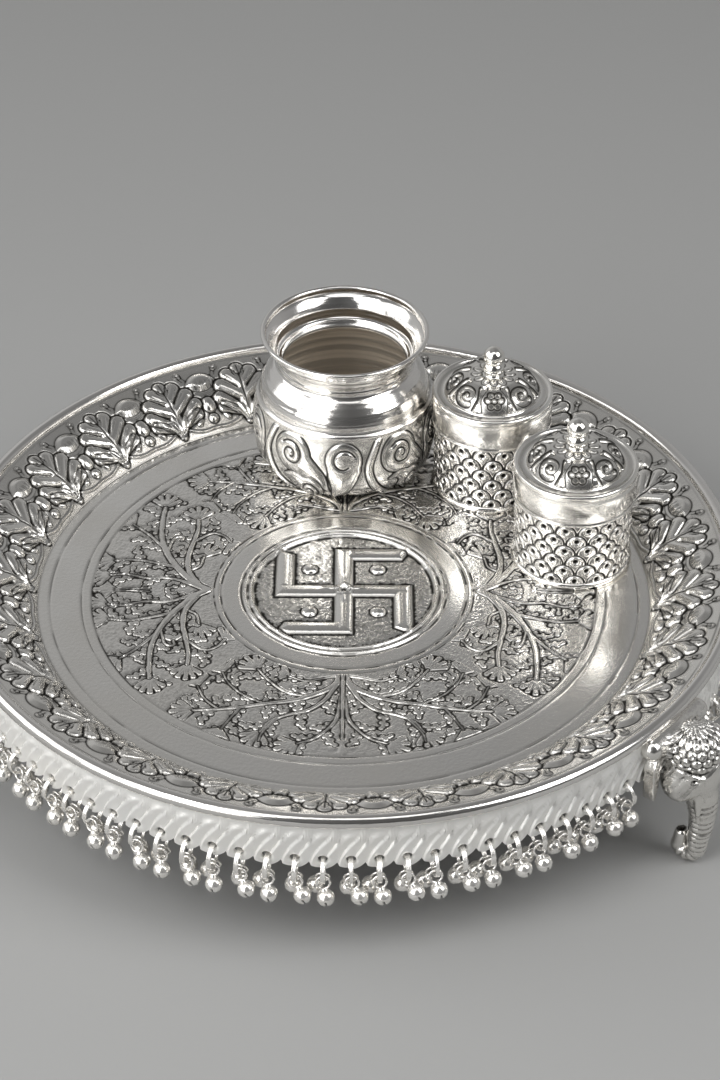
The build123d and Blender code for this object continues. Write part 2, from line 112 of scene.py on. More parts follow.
# Stems of half a spray at left and right
SIDE_SPRAY = [
    ([(0.0, 43.4), (4.5, 48.7), (11.7, 53.8), (19.4, 57.5), (28.0, 59.7),
      (37.5, 59.9), (44.0, 59.4)], 1.2, 0.7),
    ([(1.7, 46.0), (9.5, 49.8), (17.1, 50.5), (25.8, 49.0), (32.1, 48.0), (37.4, 48.1)], 1.0, 0.6),
    ([(11.7, 53.8), (13.9, 60.5), (15.6, 67.3), (15.1, 74.0)], 0.7, 0.4),
    ([(0.0, 44.4), (4.0, 50.8), (6.2, 56.9), (6.0, 63.1), (8.0, 69.8), (7.5, 75.0)], 0.7, 0.4),
    ([(19.4, 57.5), (27.0, 55.6), (27.9, 52.8), (25.8, 53.0)], 0.5, 0.5),
    ([(10.6, 48.8), (12.7, 46.4), (17.2, 45.4)], 0.5, 0.4),
    ([(25.8, 48.6), (30.0, 43.4), (28.6, 39.4), (25.0, 37.0)], 0.6, 0.4),
    ([(20.4, 57.6), (27.1, 62.3), (31.3, 65.8), (34.5, 69.2)], 0.6, 0.4),
    ([(1.0, 62.0), (0.6, 67.0), (0.4, 73.0)], 0.4, 0.3),
]

# Fan of lobes at a stem's tip
TIP_LOBES = 5
TIP_SPREAD = 0.40

# Leaflets of the sprays: bend of the spine, and lobes by place along it, turn away from it and reach
LEAFLET_BEND = 0.32
LEAFLET_LOBES = ((0.36, 1.0, 1.1), (0.66, 1.0, 1.25), (0.92, 0.9, 0.9), (0.52, -0.9, 0.85), (0.82, -0.9, 0.9))

# Rings round the medallion by radius and rise, and punched lines by radius, width, dashes and seed
MEDALLION_RINGS = ((29.8, 0.75), (31.6, 0.6))
MEDALLION_LINES = ((28.4, 0.62, 68, 11), (30.7, 0.58, 92, 12), (32.8, 0.52, 80, 13))
PLAIN_LINES = ((PLAIN_R, 120, 14), (SPRAY_IN_R - 0.3, 150, 15))

# Scribed lines of the plain outer band by radius, width, darkness and seed
BAND_DASHES = 90
BAND_LINES = ((SPRAY_OUT_R, 0.42, 0.9, 21), (LINE_R, 0.30, 0.7, 22), (EDGE_LINE_R, 0.30, 0.7, 23))

# Swastika, the traditional auspicious mark, with its four dots, as in the CAD model
MARK_HALF = 21.8
MARK_ARM = 5.8
MARK_SLANT = 0.55
MARK_RISE = 0.8
DOT_AT = 10.9
DOT_R = 2.5
DOT_RISE = 1.1

# Acanthus leaves on the wall, as in the CAD model: lobes by distance sideways, distance up and radius
LEAVES = 25
LEAF_AT = radians(-92.3)
LEAF_RISE = 1.2
LEAF_BASE = 4.5
LEAF_LEAN = 0.85
LEAF_LOBES = ((0.0, 22.0, 2.4), (4.0, 20.2, 2.6), (7.2, 16.4, 2.7), (8.8, 12.0, 2.5), (8.2, 8.2, 2.0))

# Fans between the leaves
FAN_AT = 19.4
FAN_HALF = 5.6
FAN_RISE = 3.8

# Ornament at the wall's foot: bud and ball between two leaves, boss below one, and the paths of curl and swag
BUD_UP = 10.4
BUD_HALF_WIDTH = 2.3
BUD_HALF_HEIGHT = 3.0
BALL_UP = 5.3
BALL_R = 1.75
BOSS_UP = 2.4
BOSS_R = 1.45
CURL_PATH = ((5.4, 4.6), (3.9, 7.4), (3.5, 10.6), (4.3, 13.6))
SWAG_PATH = ((0.6, 5.6), (3.4, 3.3), (7.6, 1.9), (12.4, 2.1))

# Skirt and bell fringe, as in the CAD model
SKIRT_R = 123.0
SKIRT_SHEET = 0.8
SKIRT_BOTTOM = 34.4
SKIRT_TOP = 51.4
SKIRT_RAYS = 92
SKIRT_STEPS = 26
SCALLOPS = 96
SCALLOP_DEPTH = 1.8
HOLE_R = 1.5
HOLE_Z = 37.4
RING_R = 4.1
RING_WIRE = 0.8
RING_WIDTH = 1.8
BELL_R = 2.75
LOOP_WIRE = 0.35
LOOP_DROP = 0.5
LOOP_CLEARANCE = 0.12
LOOP_SEAT = 0.05
BELL_GAP = 0.3
PAIR_GAP = 0.8
BELL_MOUTH = 1.15
RING_TURNS = 2.75
WIRE_SIDES = 8
LOOP_R = hypot(RING_WIDTH, RING_WIRE) / 2 + LOOP_DROP + LOOP_CLEARANCE + LOOP_WIRE
BELL_DROP = LOOP_R + LOOP_SEAT + BELL_R
ARC_NAMES = ("right", "left", "front")
PAIRS_PER_ARC = 14
EMPTY_SCALLOPS = 4

# Elephant feet, as in the CAD model: room and step of the sculpted volume, and the trunk with its curl
FOOT_NAMES = ("front_right", "back", "left")
FOOT_ANGLES = (-38.0, 82.0, 202.0)
ELEPHANT_LOW = (-17.0, 121.6, -0.9)
ELEPHANT_HIGH = (17.0, 144.6, 53.6)
ELEPHANT_STEP = 0.3
CURL_OUT = 132.9
CURL_Z = 5.6
CURL_R = 3.3
CURL_DEGREES = (30, 60, 90, 120, 150)

# Trunk above its curl by distance out, height and radius, and the end of its tip
TRUNK = ((134.2, 33.0, 6.2), (136.0, 27.5, 5.2), (136.9, 21.0, 4.3), (136.8, 14.5, 3.7), (136.2, 9.0, 3.3))
TRUNK_TIP = (130.6, 8.6, 2.25)

# Kalash, as in the CAD model
KALASH_AT = (-0.2, 73.0)
KALASH_WALL = 1.0
KALASH_BASE = (20.5, 0.0)
KALASH_BASE_ROWS = 8
KALASH_HIP = (29.0, 8.5)
KALASH_HIP_BOW = 1.75
KALASH_JOINT = (28.9, 28.2)
KALASH_BELLY_BOW = 1.1
KALASH_JOINT_Z = 27.2
KALASH_EDGE_R = 29.15

# Chased leaves round the kalash, and the streaks inside it
KALASH_TILES = 5
SCROLL_STRETCH = 1.14
SCROLL_WRAP_R = 29.5
SCROLL_START = 4.0
LINING_STREAK = 1.3
LINING_TARNISH = 0.5

# Lidded boxes, as in the CAD model: the lid's edge goes by inset from its radius and height from its end
BOXES = {"rear": (48.4, 60.2), "front": (73.4, 19.5)}
CUP_R = 18.7
CUP_H = 35.5
BOX_WALL = 0.9
LID_R = 19.9
LID_BOTTOM = 25.2
LID_TOP = 36.4
LID_HEM = ((BOX_WALL, 0.0), (0.2, 0.0), (0.0, 0.25), (0.0, 0.9), (0.25, 1.15), (0.25, 1.5), (0.05, 1.8))
LID_SHOULDER = (
    (0.05, -1.6), (0.2, -1.3), (0.0, -0.9), (0.0, -0.1), (0.15, 0.35),
    (0.55, 0.65), (1.0, 0.7), (1.5, 0.45), (1.9, 0.0), (2.5, -0.15),
)
DOME_R = 15.6
DOME_FLAT_R = 7.5
DOME_TOP = 42.7
DOME_BOW = 1.75

# Scales on the cups, and scrolls, rosettes and petals on the lids
SCALES_HEIGHT = 23.4
SCALES_TOP = 25.4
SCALE_ROWS = 6
SCALES = 16
LID_TILES = 8
SCROLL_AT = 5.3
SCROLL_R = 4.3
ROSE_TILE = 6
COLLAR_PETALS = 12
COLLAR_R = 5.4

# Floor, in metres: its paper grows paler between two distances, to make up for the lamps' fall-off
FLOOR_HALF = 4.0
FLOOR_NEAR = 0.6
FLOOR_FAR = 2.0
FLOOR_COLOUR = (0.305, 0.305, 0.30, 1.0)
FLOOR_FAR_COLOUR = (0.80, 0.80, 0.79, 1.0)

# Lamps in metres and watts by place, size and power, and the point they aim at
LAMPS = (
    ("softbox_left", (-0.68, -0.68, 0.96), (0.7, 0.85), 10),
    ("softbox_right", (0.87, -0.40, 0.96), (0.7, 0.85), 9),
    ("softbox_top", (0.0, -0.45, 1.6), (0.9, 0.6), 2.5),
    ("fill_front", (-1.05, -1.05, 0.50), (1.2, 0.7), 7.5),
    ("panel_left", (-1.40, 0.05, 0.85), (1.2, 1.2), 7),
)
LAMP_AIM = (0.0, 0.0, 0.04)

# World light, the product of ramps by direction: axis, its lower and upper value, and the light at each
WORLD_RAMPS = (
    ("Y", -0.9, 0.5, 0.09, 0.40),
    ("Z", 0.56, 0.72, 1.12, 0.70),
    ("X", -0.12, 0.12, 1.06, 0.78),
)

# Camera fitted to the photo, for an image 720 by 1080
CAMERA_AT = (5.07, -716.6, 600.583)
CAMERA_RIGHT = (0.99999, 0.00259, 0.00342)
CAMERA_UP = (-0.00429, 0.60358, 0.79729)
FOCAL_PX = 2854.65
IMAGE_HEIGHT_PX = 1080
SENSOR_MM = 24.0


# Meshes

class Form:
    """Points, quads, and the tarnish and painted shade, gathered for one piece."""

    def __init__(self):
        self.points = []
        self.quads = []
        self.tarnish_and_shade = []
        self.count = 0

    def add(self, points, quads, tarnish_and_shade):
        self.points.append(np.asarray(points, float).reshape(-1, 3))
        self.quads.append(np.asarray(quads) + self.count)
        self.tarnish_and_shade.append(np.broadcast_to(np.asarray(tarnish_and_shade, float), len(self.points[-1])).copy())
        self.count += len(self.points[-1])

    def grid(self, points, tarnish_and_shade, wrap_rows=False):
        """Quads over rows of points that close on themselves, facing along row times column direction."""
        rows, cols = points.shape[:2]
        index = np.arange(rows * cols).reshape(rows, cols)
        if wrap_rows:
            index = np.vstack([index, index[:1]])
        index = np.hstack([index, index[:, :1]])
        corners = [index[:-1, :-1], index[1:, :-1], index[1:, 1:], index[:-1, 1:]]
        quads = np.stack(corners, -1).reshape(-1, 4)
        flat = np.broadcast_to(np.asarray(tarnish_and_shade, float), (rows, cols)).ravel()
        self.add(points, quads, flat)

    def arrays(self):
        return np.vstack(self.points), np.vstack(self.quads), np.concatenate(self.tarnish_and_shade)


def make_piece(form, name, body, slot, material, node):
    """One Blender object from a form, riding on a body and standing for a CAD node or a share of it."""
    points, quads, tarnish_and_shade = form.arrays()
    mesh = bpy.data.meshes.new(name)
    mesh.vertices.add(len(points))
    mesh.vertices.foreach_set("co", (points * MM).astype(np.float32).ravel())
    mesh.loops.add(quads.size)
    mesh.loops.foreach_set("vertex_index", quads.astype(np.int32).ravel())
    mesh.polygons.add(len(quads))
    mesh.polygons.foreach_set("loop_start", np.arange(0, quads.size, 4, dtype=np.int32))
    mesh.update(calc_edges=True)
    mesh.polygons.foreach_set("use_smooth", np.ones(len(quads), bool))
    mesh.set_sharp_from_angle(angle=radians(SHARP_DEGREES))
    # Tarnish and painted shade at each point, which darken the silver's colour
    layer = mesh.attributes.new("tarnish_and_shade", "FLOAT", "POINT")
    shade = np.clip(TARNISH_AND_SHADE_GAIN * tarnish_and_shade, 0, 1) ** TARNISH_AND_SHADE_CONTRAST
    layer.data.foreach_set("value", shade.astype(np.float32))
    mesh.materials.append(material)
    piece = bpy.data.objects.new(name, mesh)
    bpy.context.scene.collection.objects.link(piece)
    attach(piece, body)
    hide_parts(node)


def closed_piece(points, tarnish_and_shade, *labels):
    """One piece from a turned skin that closes on itself along its rows and columns."""
    form = Form()
    form.grid(points, tarnish_and_shade, wrap_rows=True)
    make_piece(form, *labels)


def spun_points(r, z, theta):
    """Points of a profile turned round the Z axis: rows along the profile, columns round it."""
    return np.stack([r * np.cos(theta), r * np.sin(theta), z * np.ones_like(theta)], -1)


def turned(profile, theta):
    """Points of a plain profile, given as rows of radius and height, turned round the Z axis."""
    return spun_points(profile[:, :1], profile[:, 1:], theta)


def raised(r, z, height, theta):
    """Points of a turned profile with relief to the left of the profile's run."""
    nr, nz = profile_normals(r, z)
    return spun_points(r[:, None] + height * nr[:, None], z[:, None] + height * nz[:, None], theta)


def run_length(points):
    """Distance along a path from its first point, at each point."""
    return np.concatenate([[0], np.cumsum(np.hypot(*np.diff(points, axis=0).T))])


def profile_normals(r, z):
    """Unit normals to the left of a profile's run."""
    dr = np.gradient(r)
    dz = np.gradient(z)
    length = np.maximum(np.hypot(dr, dz), 1e-9)
    return -dz / length, dr / length


def angles(count):
    """Angles at even steps round a circle."""
    return np.arange(count) * 2 * pi / count


# Drawing on surfaces

def noise(x, y, cell, seed):
    """Smooth random values from -1 to 1 on a lattice of the given cell."""
    lattice = np.random.default_rng(seed).uniform(-1, 1, (128, 128))
    u, v = x / cell, y / cell
    i, j = np.floor(u).astype(int), np.floor(v).astype(int)
    f, g = u - i, v - j
    f, g = f * f * (3 - 2 * f), g * g * (3 - 2 * g)
    i0, i1, j0, j1 = i % 128, (i + 1) % 128, j % 128, (j + 1) % 128
    low = lattice[i0, j0] * (1 - f) + lattice[i1, j0] * f
    high = lattice[i0, j1] * (1 - f) + lattice[i1, j1] * f
    return low * (1 - g) + high * g


def ease(low, high, x):
    """Smooth step from 0 at low to 1 at high."""
    t = np.clip((x - low) / (high - low), 0, 1)
    return t * t * (3 - 2 * t)


def line(distance, width):
    """Soft groove or ridge profile: 1 on the line, 0 beyond its width."""
    return np.exp(-((distance / width) ** 2))


def smooth_path(points, steps=5):
    """Points along a smooth curve through the given points."""
    p = np.asarray(points, float)
    q = np.vstack([2 * p[0] - p[1], p, 2 * p[-1] - p[-2]])
    out = []
    for i in range(len(p) - 1):
        a, b, c, d = q[i:i + 4]
        bend = 2 * a - 5 * b + 4 * c - d
        twist = 3 * b - a - 3 * c + d
        for t in np.arange(steps) / steps:
            out.append(b + (c - a) * t / 2 + bend * t**2 / 2 + twist * t**3 / 2)
    out.append(p[-1])
    return np.array(out)


def spiral_path(centre, start_angle, turns, outer, inner):
    """Points of a spiral from its outer end inwards, anticlockwise for positive turns."""
    t = np.linspace(0, 1, int(14 * abs(turns)) + 4)
    a = start_angle + 2 * pi * turns * t
    r = outer + (inner - outer) * t
    return np.stack([centre[0] + r * np.cos(a), centre[1] + r * np.sin(a)], -1)


class Drawing:
    """Forms and lines drawn over points: solid is below 0 inside a form, lines and notches are distances."""

    def __init__(self, u, v):
        self.u, self.v = u, v
        self.solid = np.full(u.shape, 9.0)
        self.lines = np.full(u.shape, 9.0)
        self.notches = np.full(u.shape, 9.0)
        self.outline = np.full(u.shape, 9.0)

    def _reach(self, path, start, end):
        path = np.asarray(path, float)
        best = np.full(self.u.shape, 9.0)
        runs = len(path) - 1
        for i in range(runs):
            a, d = path[i], path[i + 1] - path[i]
            t = ((self.u - a[0]) * d[0] + (self.v - a[1]) * d[1]) / max(d @ d, 1e-9)
            t = np.clip(t, 0, 1)
            width = start + (end - start) * (i + t) / runs
            far = np.hypot(self.u - a[0] - t * d[0], self.v - a[1] - t * d[1]) - width
            np.minimum(best, far, out=best)
        return best

    def stroke(self, path, start, end):
        np.minimum(self.solid, self._reach(path, start, end), out=self.solid)

    def cover(self, other):
        """Lays another drawing over this one, so that only what it leaves free still shows."""
        far = other.solid
        inside = far < 0
        self.outline = np.where(inside, -far, np.minimum(self.outline, far))
        self.lines = np.where(inside, other.lines, self.lines)
        self.notches = np.where(inside, other.notches, np.minimum(self.notches, other.notches))
        self.solid = np.minimum(self.solid, far)

    def stem(self, path, start, end):
        shape = Drawing(self.u, self.v)
        shape.stroke(path, start, end)
        self.cover(shape)

    def vein(self, path):
        np.minimum(self.lines, self._reach(path, 0.0, 0.0), out=self.lines)

    def notch(self, path):
        np.minimum(self.notches, self._reach(path, 0.0, 0.0), out=self.notches)

    def lobe(self, centre, radius):
        far = np.hypot(self.u - centre[0], self.v - centre[1]) - radius
        np.minimum(self.solid, far, out=self.solid)

    def leaf(self, base, heading, length):
        """Fan of lobes at a stem's tip, with a vein to each and a punched notch between two."""
        base = np.asarray(base, float)
        middle = (TIP_LOBES - 1) / 2
        fan = Drawing(self.u, self.v)
        for k in range(TIP_LOBES):
            turn = heading + TIP_SPREAD * (k - middle)
            reach = length * (0.85 - 0.07 * abs(k - middle))
            along = reach * np.array([cos(turn), sin(turn)])
            fan.stroke([base, base + along], 0.09 * length, 0.17 * length)
            fan.vein([base + 0.45 * along, base + 0.95 * along])
            if k:
                back = turn - TIP_SPREAD / 2
                between = reach * np.array([cos(back), sin(back)])
                fan.notch([base + 0.85 * between, base + 1.12 * between])
        self.cover(fan)

    def leaflet(self, base, heading, length, side):
        """Leaf beside a stem: a bent spine with three lobes on its outer side and two on its inner side."""
        bend = base + 0.5 * length * np.array([cos(heading), sin(heading)])
        turn = heading + LEAFLET_BEND * side
        end = base + length * np.array([cos(turn), sin(turn)])
        spine = smooth_path([base, bend, end], 3)
        blade = Drawing(self.u, self.v)
        blade.stroke(spine, 0.6, 0.9)
        blade.vein(spine)
        for t, away, reach in LEAFLET_LOBES:
            root = spine[int(round(t * (len(spine) - 1)))]
            out = heading + (LEAFLET_BEND * t + away) * side
            tip = root + reach * np.array([cos(out), sin(out)])
            blade.lobe(tip, 0.135 * length)
            blade.vein([root, tip])
        blade.lobe(end, 0.12 * length)
        self.cover(blade)

    def leaves(self, path, leaf, gap):
        """Leaves along a stem on alternate sides, and a fan at its tip."""
        run = run_length(path)
        side = 1
        for at in np.arange(gap, run[-1] - 0.4 * gap, gap):
            i = min(int(np.searchsorted(run, at)), len(path) - 1)
            step = path[i] - path[i - 1]
            self.leaflet(path[i], atan2(step[1], step[0]) + 0.4 * side, leaf, side)
            side = -side
        step = path[-1] - path[-2]
        self.leaf(path[-1], atan2(step[1], step[0]), leaf)


def blurred(height, cells):
    """Height smoothed over a number of cells, wrapping along the columns."""
    offsets = np.arange(-2 * cells, 2 * cells + 1)
    weights = np.exp(-(offsets / cells) ** 2)
    weights /= weights.sum()
    rows = np.arange(height.shape[0])
    out = sum(w * np.roll(height, o, axis=1) for o, w in zip(offsets, weights))
    return sum(w * out[np.clip(rows + o, 0, len(rows) - 1)] for o, w in zip(offsets, weights))


# Tray

def spray_drawing(spray, u, v):
    """One spray with its mirror half, over the quarter of the tray round its axis."""
    art = Drawing(np.abs(u), v)
    for points, _, _ in spray[::-1]:
        art.leaves(smooth_path(points), SPRAY_LEAF, SPRAY_LEAF_GAP)
    stems = Drawing(art.u, art.v)
    for points, start, end in spray:
        stems.stroke(smooth_path(points), SPRAY_STEM * start, SPRAY_STEM * end)
    art.cover(stems)
    return art


def spray_ground(r, theta):
    """Relief and tarnish of the sprays: smooth leaves on a finely punched ground."""
    height = np.zeros(r.shape)
    dark = np.zeros(r.shape)
    quarter = np.round((theta + pi / 2) / (pi / 2)).astype(int) % 4
    for number in range(4):
        here = quarter == number
        turn = theta[here] - (number * pi / 2 - pi / 2)
        u, v = r[here] * np.sin(turn), r[here] * np.cos(turn)
        art = spray_drawing(FRONT_SPRAY if number % 2 == 0 else SIDE_SPRAY, u, v)
        if number % 2 == 0:
            art.stem(FRONT_STEM, *FRONT_STEM_WIDTHS)
            for tip in FRONT_BUD[1:]:
                art.stroke([FRONT_BUD[0], tip], *FRONT_BUD_WIDTHS)
        x, y = r[here] * np.cos(theta[here]), r[here] * np.sin(theta[here])
        stipple = noise(x, y, 0.5, 3) * 0.7 + noise(x, y, 1.3, 4) * 0.3
        broken = ease(-0.35, 0.45, noise(x, y, 2.2, 5))
        ground = ease(-0.05, 0.25, art.solid)
        edge = line(art.outline, 0.24 + 0.28 * broken)
        vein = line(art.lines, 0.16) * (1 - ground)
        notch = line(art.notches, 0.45)
        height[here] = SPRAY_RISE * ease(0.1, -0.5, art.solid) + SPRAY_PUNCH * ground * stipple
        height[here] -= SPRAY_EDGE * edge + SPRAY_VEIN * vein + SPRAY_NOTCH * notch
        dark[here] = ground * np.clip(0.5 * stipple, 0, 1) + edge + 0.30 * vein + notch
    fade = ease(SPRAY_IN_R, SPRAY_IN_R + 0.6, r) * (1 - ease(SPRAY_OUT_R - 0.6, SPRAY_OUT_R, r))
    return height * fade, dark * fade


def dashes(theta, count, seed):
    """Uneven strength along a punched line."""
    along = theta * count / (2 * pi)
    return 0.45 + 0.55 * ease(-0.35, 0.25, noise(along, np.full_like(along, seed), 1.0, seed))


def mark_distance(x, y):
    """Distance to the swastika with arms bending to the right, below 0 inside it."""
    half, arm = MARK_HALF, MARK_ARM / 2
    out = np.full(x.shape, 99.0)
    for k in range(4):
        c, s = cos(k * pi / 2), sin(k * pi / 2)
        u, v = c * x + s * y, -s * x + c * y
        shaft = np.maximum(np.abs(u) - arm, np.maximum(-v, v - half))
        tip = np.maximum(np.abs(v - half + arm) - arm, np.maximum(-u, u - half + (half - v) * MARK_SLANT))
        out = np.minimum(out, np.minimum(shaft, tip))
    return out


def medallion_ground(r, theta):
    """Relief and tarnish of the tray's middle: mark on a pebbled field, double ring and plain band."""
    x, y = r * np.cos(theta), r * np.sin(theta)
    mark = mark_distance(x, y)
    pebble = noise(x, y, 0.6, 7) * 0.7 + noise(x, y, 1.4, 8) * 0.3
    field = (1 - ease(FIELD_R - 0.5, FIELD_R + 0.3, r)) * ease(-0.1, 0.5, mark)
    height = field * (0.10 * pebble - 0.22)
    dark = field * np.clip(0.34 + 0.55 * pebble, 0, 1)
    across = np.clip(-mark / (MARK_ARM / 2), 0, 1)
    height += MARK_RISE * across * (2 - across)
    edge = line(mark - 0.35, 0.62) * (r < FIELD_R)
    height -= 0.25 * edge
    dark += 0.95 * edge
    pinch = np.minimum(np.abs(x), np.abs(y))
    height += 0.3 * line(pinch, 0.45) * ease(8.0, 4.0, r) + 0.35 * line(r - 2.1, 0.6) - 0.6 * line(r, 0.9)
    dark += line(r, 1.3) + 0.6 * line(r - 2.9, 0.5)
    for sx in (-1, 1):
        for sy in (-1, 1):
            far = np.hypot(x - sx * DOT_AT, y - sy * DOT_AT)
            height += DOT_RISE * np.sqrt(np.clip(1 - (far / DOT_R) ** 2, 0, 1)) * (1 + 0.22 * (far < DOT_R))
            dark -= 0.5 * (far < DOT_R)
            dark += 0.85 * line(far - DOT_R - 0.2, 0.42)
    for ring_r, rise in MEDALLION_RINGS:
        height += rise * line(r - ring_r, 0.65)
    for ring_r, width, count, seed in MEDALLION_LINES:
        cut = line(r - ring_r, width) * dashes(theta, count, seed)
        height -= 0.35 * cut
        dark += 0.95 * cut
    for ring_r, count, seed in PLAIN_LINES:
        cut = line(r - ring_r, 0.46) * dashes(theta, count, seed)
        height -= 0.3 * cut
        dark += cut
    return height, dark


def band_ground(r, theta):
    """Relief and tarnish of the plain outer band, with its scribed lines."""
    height = np.zeros(r.shape)
    dark = np.zeros(r.shape)
    for ring_r, width, deep, seed in BAND_LINES:
        cut = line(r - ring_r, width) * dashes(theta, BAND_DASHES, seed)
        height -= 0.22 * cut
        dark += deep * cut
    dark += 0.55 * line(r - FLOOR_R, 0.4)
    return height, dark


def floor_relief(r, theta):
    """Relief and tarnish of one ring of the floor, from the grounds that it reaches into."""
    height, dark = band_ground(r, theta)
    if r.min() < SPRAY_IN_R:
        height, dark = np.add((height, dark), medallion_ground(r, theta))
    if r.max() > SPRAY_IN_R and r.min() < SPRAY_OUT_R:
        height, dark = np.add((height, dark), spray_ground(r, theta))
    return height, dark


def tray_ring(name, r, z, relief, columns, material):
    """Closed ring of the tray's sheet, with relief on its upper face."""
    theta = angles(columns)[None, :]
    nr, nz = profile_normals(r, z)
    height, dark = relief
    keep = np.unique(np.linspace(0, len(r) - 1, UNDERSIDE_ROWS).astype(int))[::-1]
    under = np.stack([r - SHEET * nr, z - SHEET * nz], -1)[keep]
    points = np.vstack([raised(r, z, height, theta), turned(under, theta)])
    shade = np.vstack([dark, np.zeros((len(keep), columns))])
    closed_piece(points, shade, name, "thali", "silver_embossed", material, "tray_dish")


def wall_profile(steps):
    """Radius and height along the border wall, from the floor to the rolled edge."""
    t = np.linspace(0, 1, steps)
    run, rise = WALL_TOP_R - FLOOR_R, WALL_TOP_Z - FLOOR_Z
    length = hypot(run, rise)
    bow_r, bow_z = -2 * WALL_CROWN * rise / length, 2 * WALL_CROWN * run / length
    bend = 2 * t * (1 - t)
    return FLOOR_R + run * t + bow_r * bend, FLOOR_Z + rise * t + bow_z * bend


def leaf_relief(u, v):
    """Relief, tarnish and outline of one acanthus leaf, u sideways from its midrib and v up the wall."""
    leaf = Drawing(u, v)
    leaf.stroke([(0.0, LEAF_BASE), (0.0, LEAF_LOBES[0][1])], 2.4, 1.4)
    pillow = np.zeros(u.shape)
    crease = np.zeros(u.shape)
    for side, up, radius in LEAF_LOBES:
        tip = np.array([side, up])
        root = np.array([0.0, max(LEAF_BASE, up - max(LEAF_LEAN * side, 2 * radius))])
        along = tip - root
        across = np.array([-along[1], along[0]]) / np.linalg.norm(along) * radius * 0.42
        lobe = Drawing(u, v)
        lobe.stroke([root, tip], 0.55 * radius, radius)
        pillow = np.maximum(pillow, np.sqrt(np.clip(-lobe.solid / radius, 0, 1)))
        outer_part = ease(0.35, 0.7, np.hypot(u, v - root[1]) / np.linalg.norm(along))
        crease = np.maximum(crease, line(lobe.solid, 0.32) * outer_part)
        leaf.stroke([root, tip], 0.55 * radius, radius)
        for shift in (-across, across):
            leaf.vein([root + 0.45 * along + shift, root + 0.95 * along + shift])
    up_wall = v / hypot(WALL_TOP_R - FLOOR_R, WALL_TOP_Z - FLOOR_Z)
    inside = ease(0.15, -0.9, leaf.solid)
    ribs = np.cos(np.arctan2(u, v - LEAF_BASE + 2.5) * 17) * ease(11.5, 8.0, v)
    height = inside * (4 * LEAF_RISE * up_wall * (1 - up_wall) + 0.55 * pillow - 0.55 + 0.3 * ribs)
    midrib = line(u, 0.44) * ease(LEAF_BASE + 1, LEAF_BASE + 3, v) * ease(23.5, 22.5, v)
    vein = np.maximum(0.75 * line(leaf.lines, 0.22), midrib) * inside
    edge = line(leaf.solid - 0.10, 0.42)
    height -= 0.25 * vein + 0.3 * crease * inside + 0.3 * edge
    dark = vein + 0.85 * crease * inside + edge + 0.35 * inside * np.clip(-ribs, 0, 1)
    return height, dark, inside


def fan_relief(gap, v):
    """Relief and tarnish of the fan between two leaves: gap is the distance from the line midway."""
    radius = (FAN_HALF**2 + FAN_RISE**2) / (2 * FAN_RISE)
    shift = radius - FAN_RISE
    eye = np.maximum(np.hypot(gap, v - FAN_AT + shift), np.hypot(gap, v - FAN_AT - shift)) - radius
    height = 1.1 * ease(0.3, -2.4, eye)
    below = ease(FAN_AT + 0.6, FAN_AT - 0.4, v)
    dark = 0.9 * line(eye, 0.36)
    dark += 0.75 * ease(0.0, 0.7, np.sin(gap * 2 * pi / 1.4)) * ease(-0.2, -0.5, eye) * below
    for ring in (1.3, 2.5):
        dark += 0.8 * line(eye - ring, 0.32) * below
    strokes = Drawing(gap, v)
    for near in (4.6, 6.0):
        strokes.vein([(near, 21.2), (near + 1.5, 24.2)])
    dark += 0.9 * line(strokes.lines, 0.36)
    return height, dark


def dome(far, radius, rise):
    """Height of a round boss by the distance from its middle."""
    return rise * np.sqrt(np.clip(1 - (far / radius) ** 2, 0, 1))


def foot_relief(u, gap, v):
    """Relief and tarnish at the wall's foot: bud and ball between the leaves, swag and boss below them."""
    bud = np.hypot(gap / BUD_HALF_WIDTH, (v - BUD_UP) / BUD_HALF_HEIGHT)
    ball = np.hypot(gap, v - BALL_UP)
    boss = np.hypot(u, v - BOSS_UP)
    height = dome(bud, 1.0, 1.15) + dome(ball, BALL_R, 1.15) + dome(boss, BOSS_R, 0.9)
    dark = 0.9 * line(bud - 1.08, 0.13) + 0.9 * line(ball - 1.95, 0.36) + 0.9 * line(boss - 1.65, 0.34)
    curl = Drawing(gap, v)
    curl.stroke(smooth_path(CURL_PATH), 1.0, 0.5)
    swag = Drawing(u, v)
    swag.stroke(smooth_path(SWAG_PATH), 0.55, 0.45)
    for art, rise in ((curl, 0.7), (swag, 0.5)):
        height += rise * ease(0.1, -0.7, art.solid)
        dark += 0.75 * line(art.solid - 0.15, 0.28)
    return height, dark


def wall_relief(r, v, theta):
    """Relief and tarnish of the acanthus border: r and v run up the wall, theta round it."""
    tile = 2 * pi / LEAVES
    spin = (theta - LEAF_AT + tile / 2) % tile - tile / 2
    u = np.abs(spin) * r
    gap = tile / 2 * r - u
    v = v + 0 * u
    height, dark = np.add(fan_relief(gap, v), foot_relief(u, gap, v))
    leaf_height, leaf_dark, inside = leaf_relief(u, v)
    height = height * (1 - inside) + leaf_height
    dark = dark * (1 - inside) + leaf_dark
    ring = np.hypot(u - 8.0, v - 24.0)
    height += 0.35 * line(ring - 0.9, 0.4)
    dark += 0.85 * line(ring - 1.35, 0.3) + 0.5 * line(ring, 0.45)
    dark += 0.7 * line(v - 26.0, 0.32) * dashes(theta + 0 * v, 60, 31) + 0.5 * line(v - 0.3, 0.4)
    return height, dark


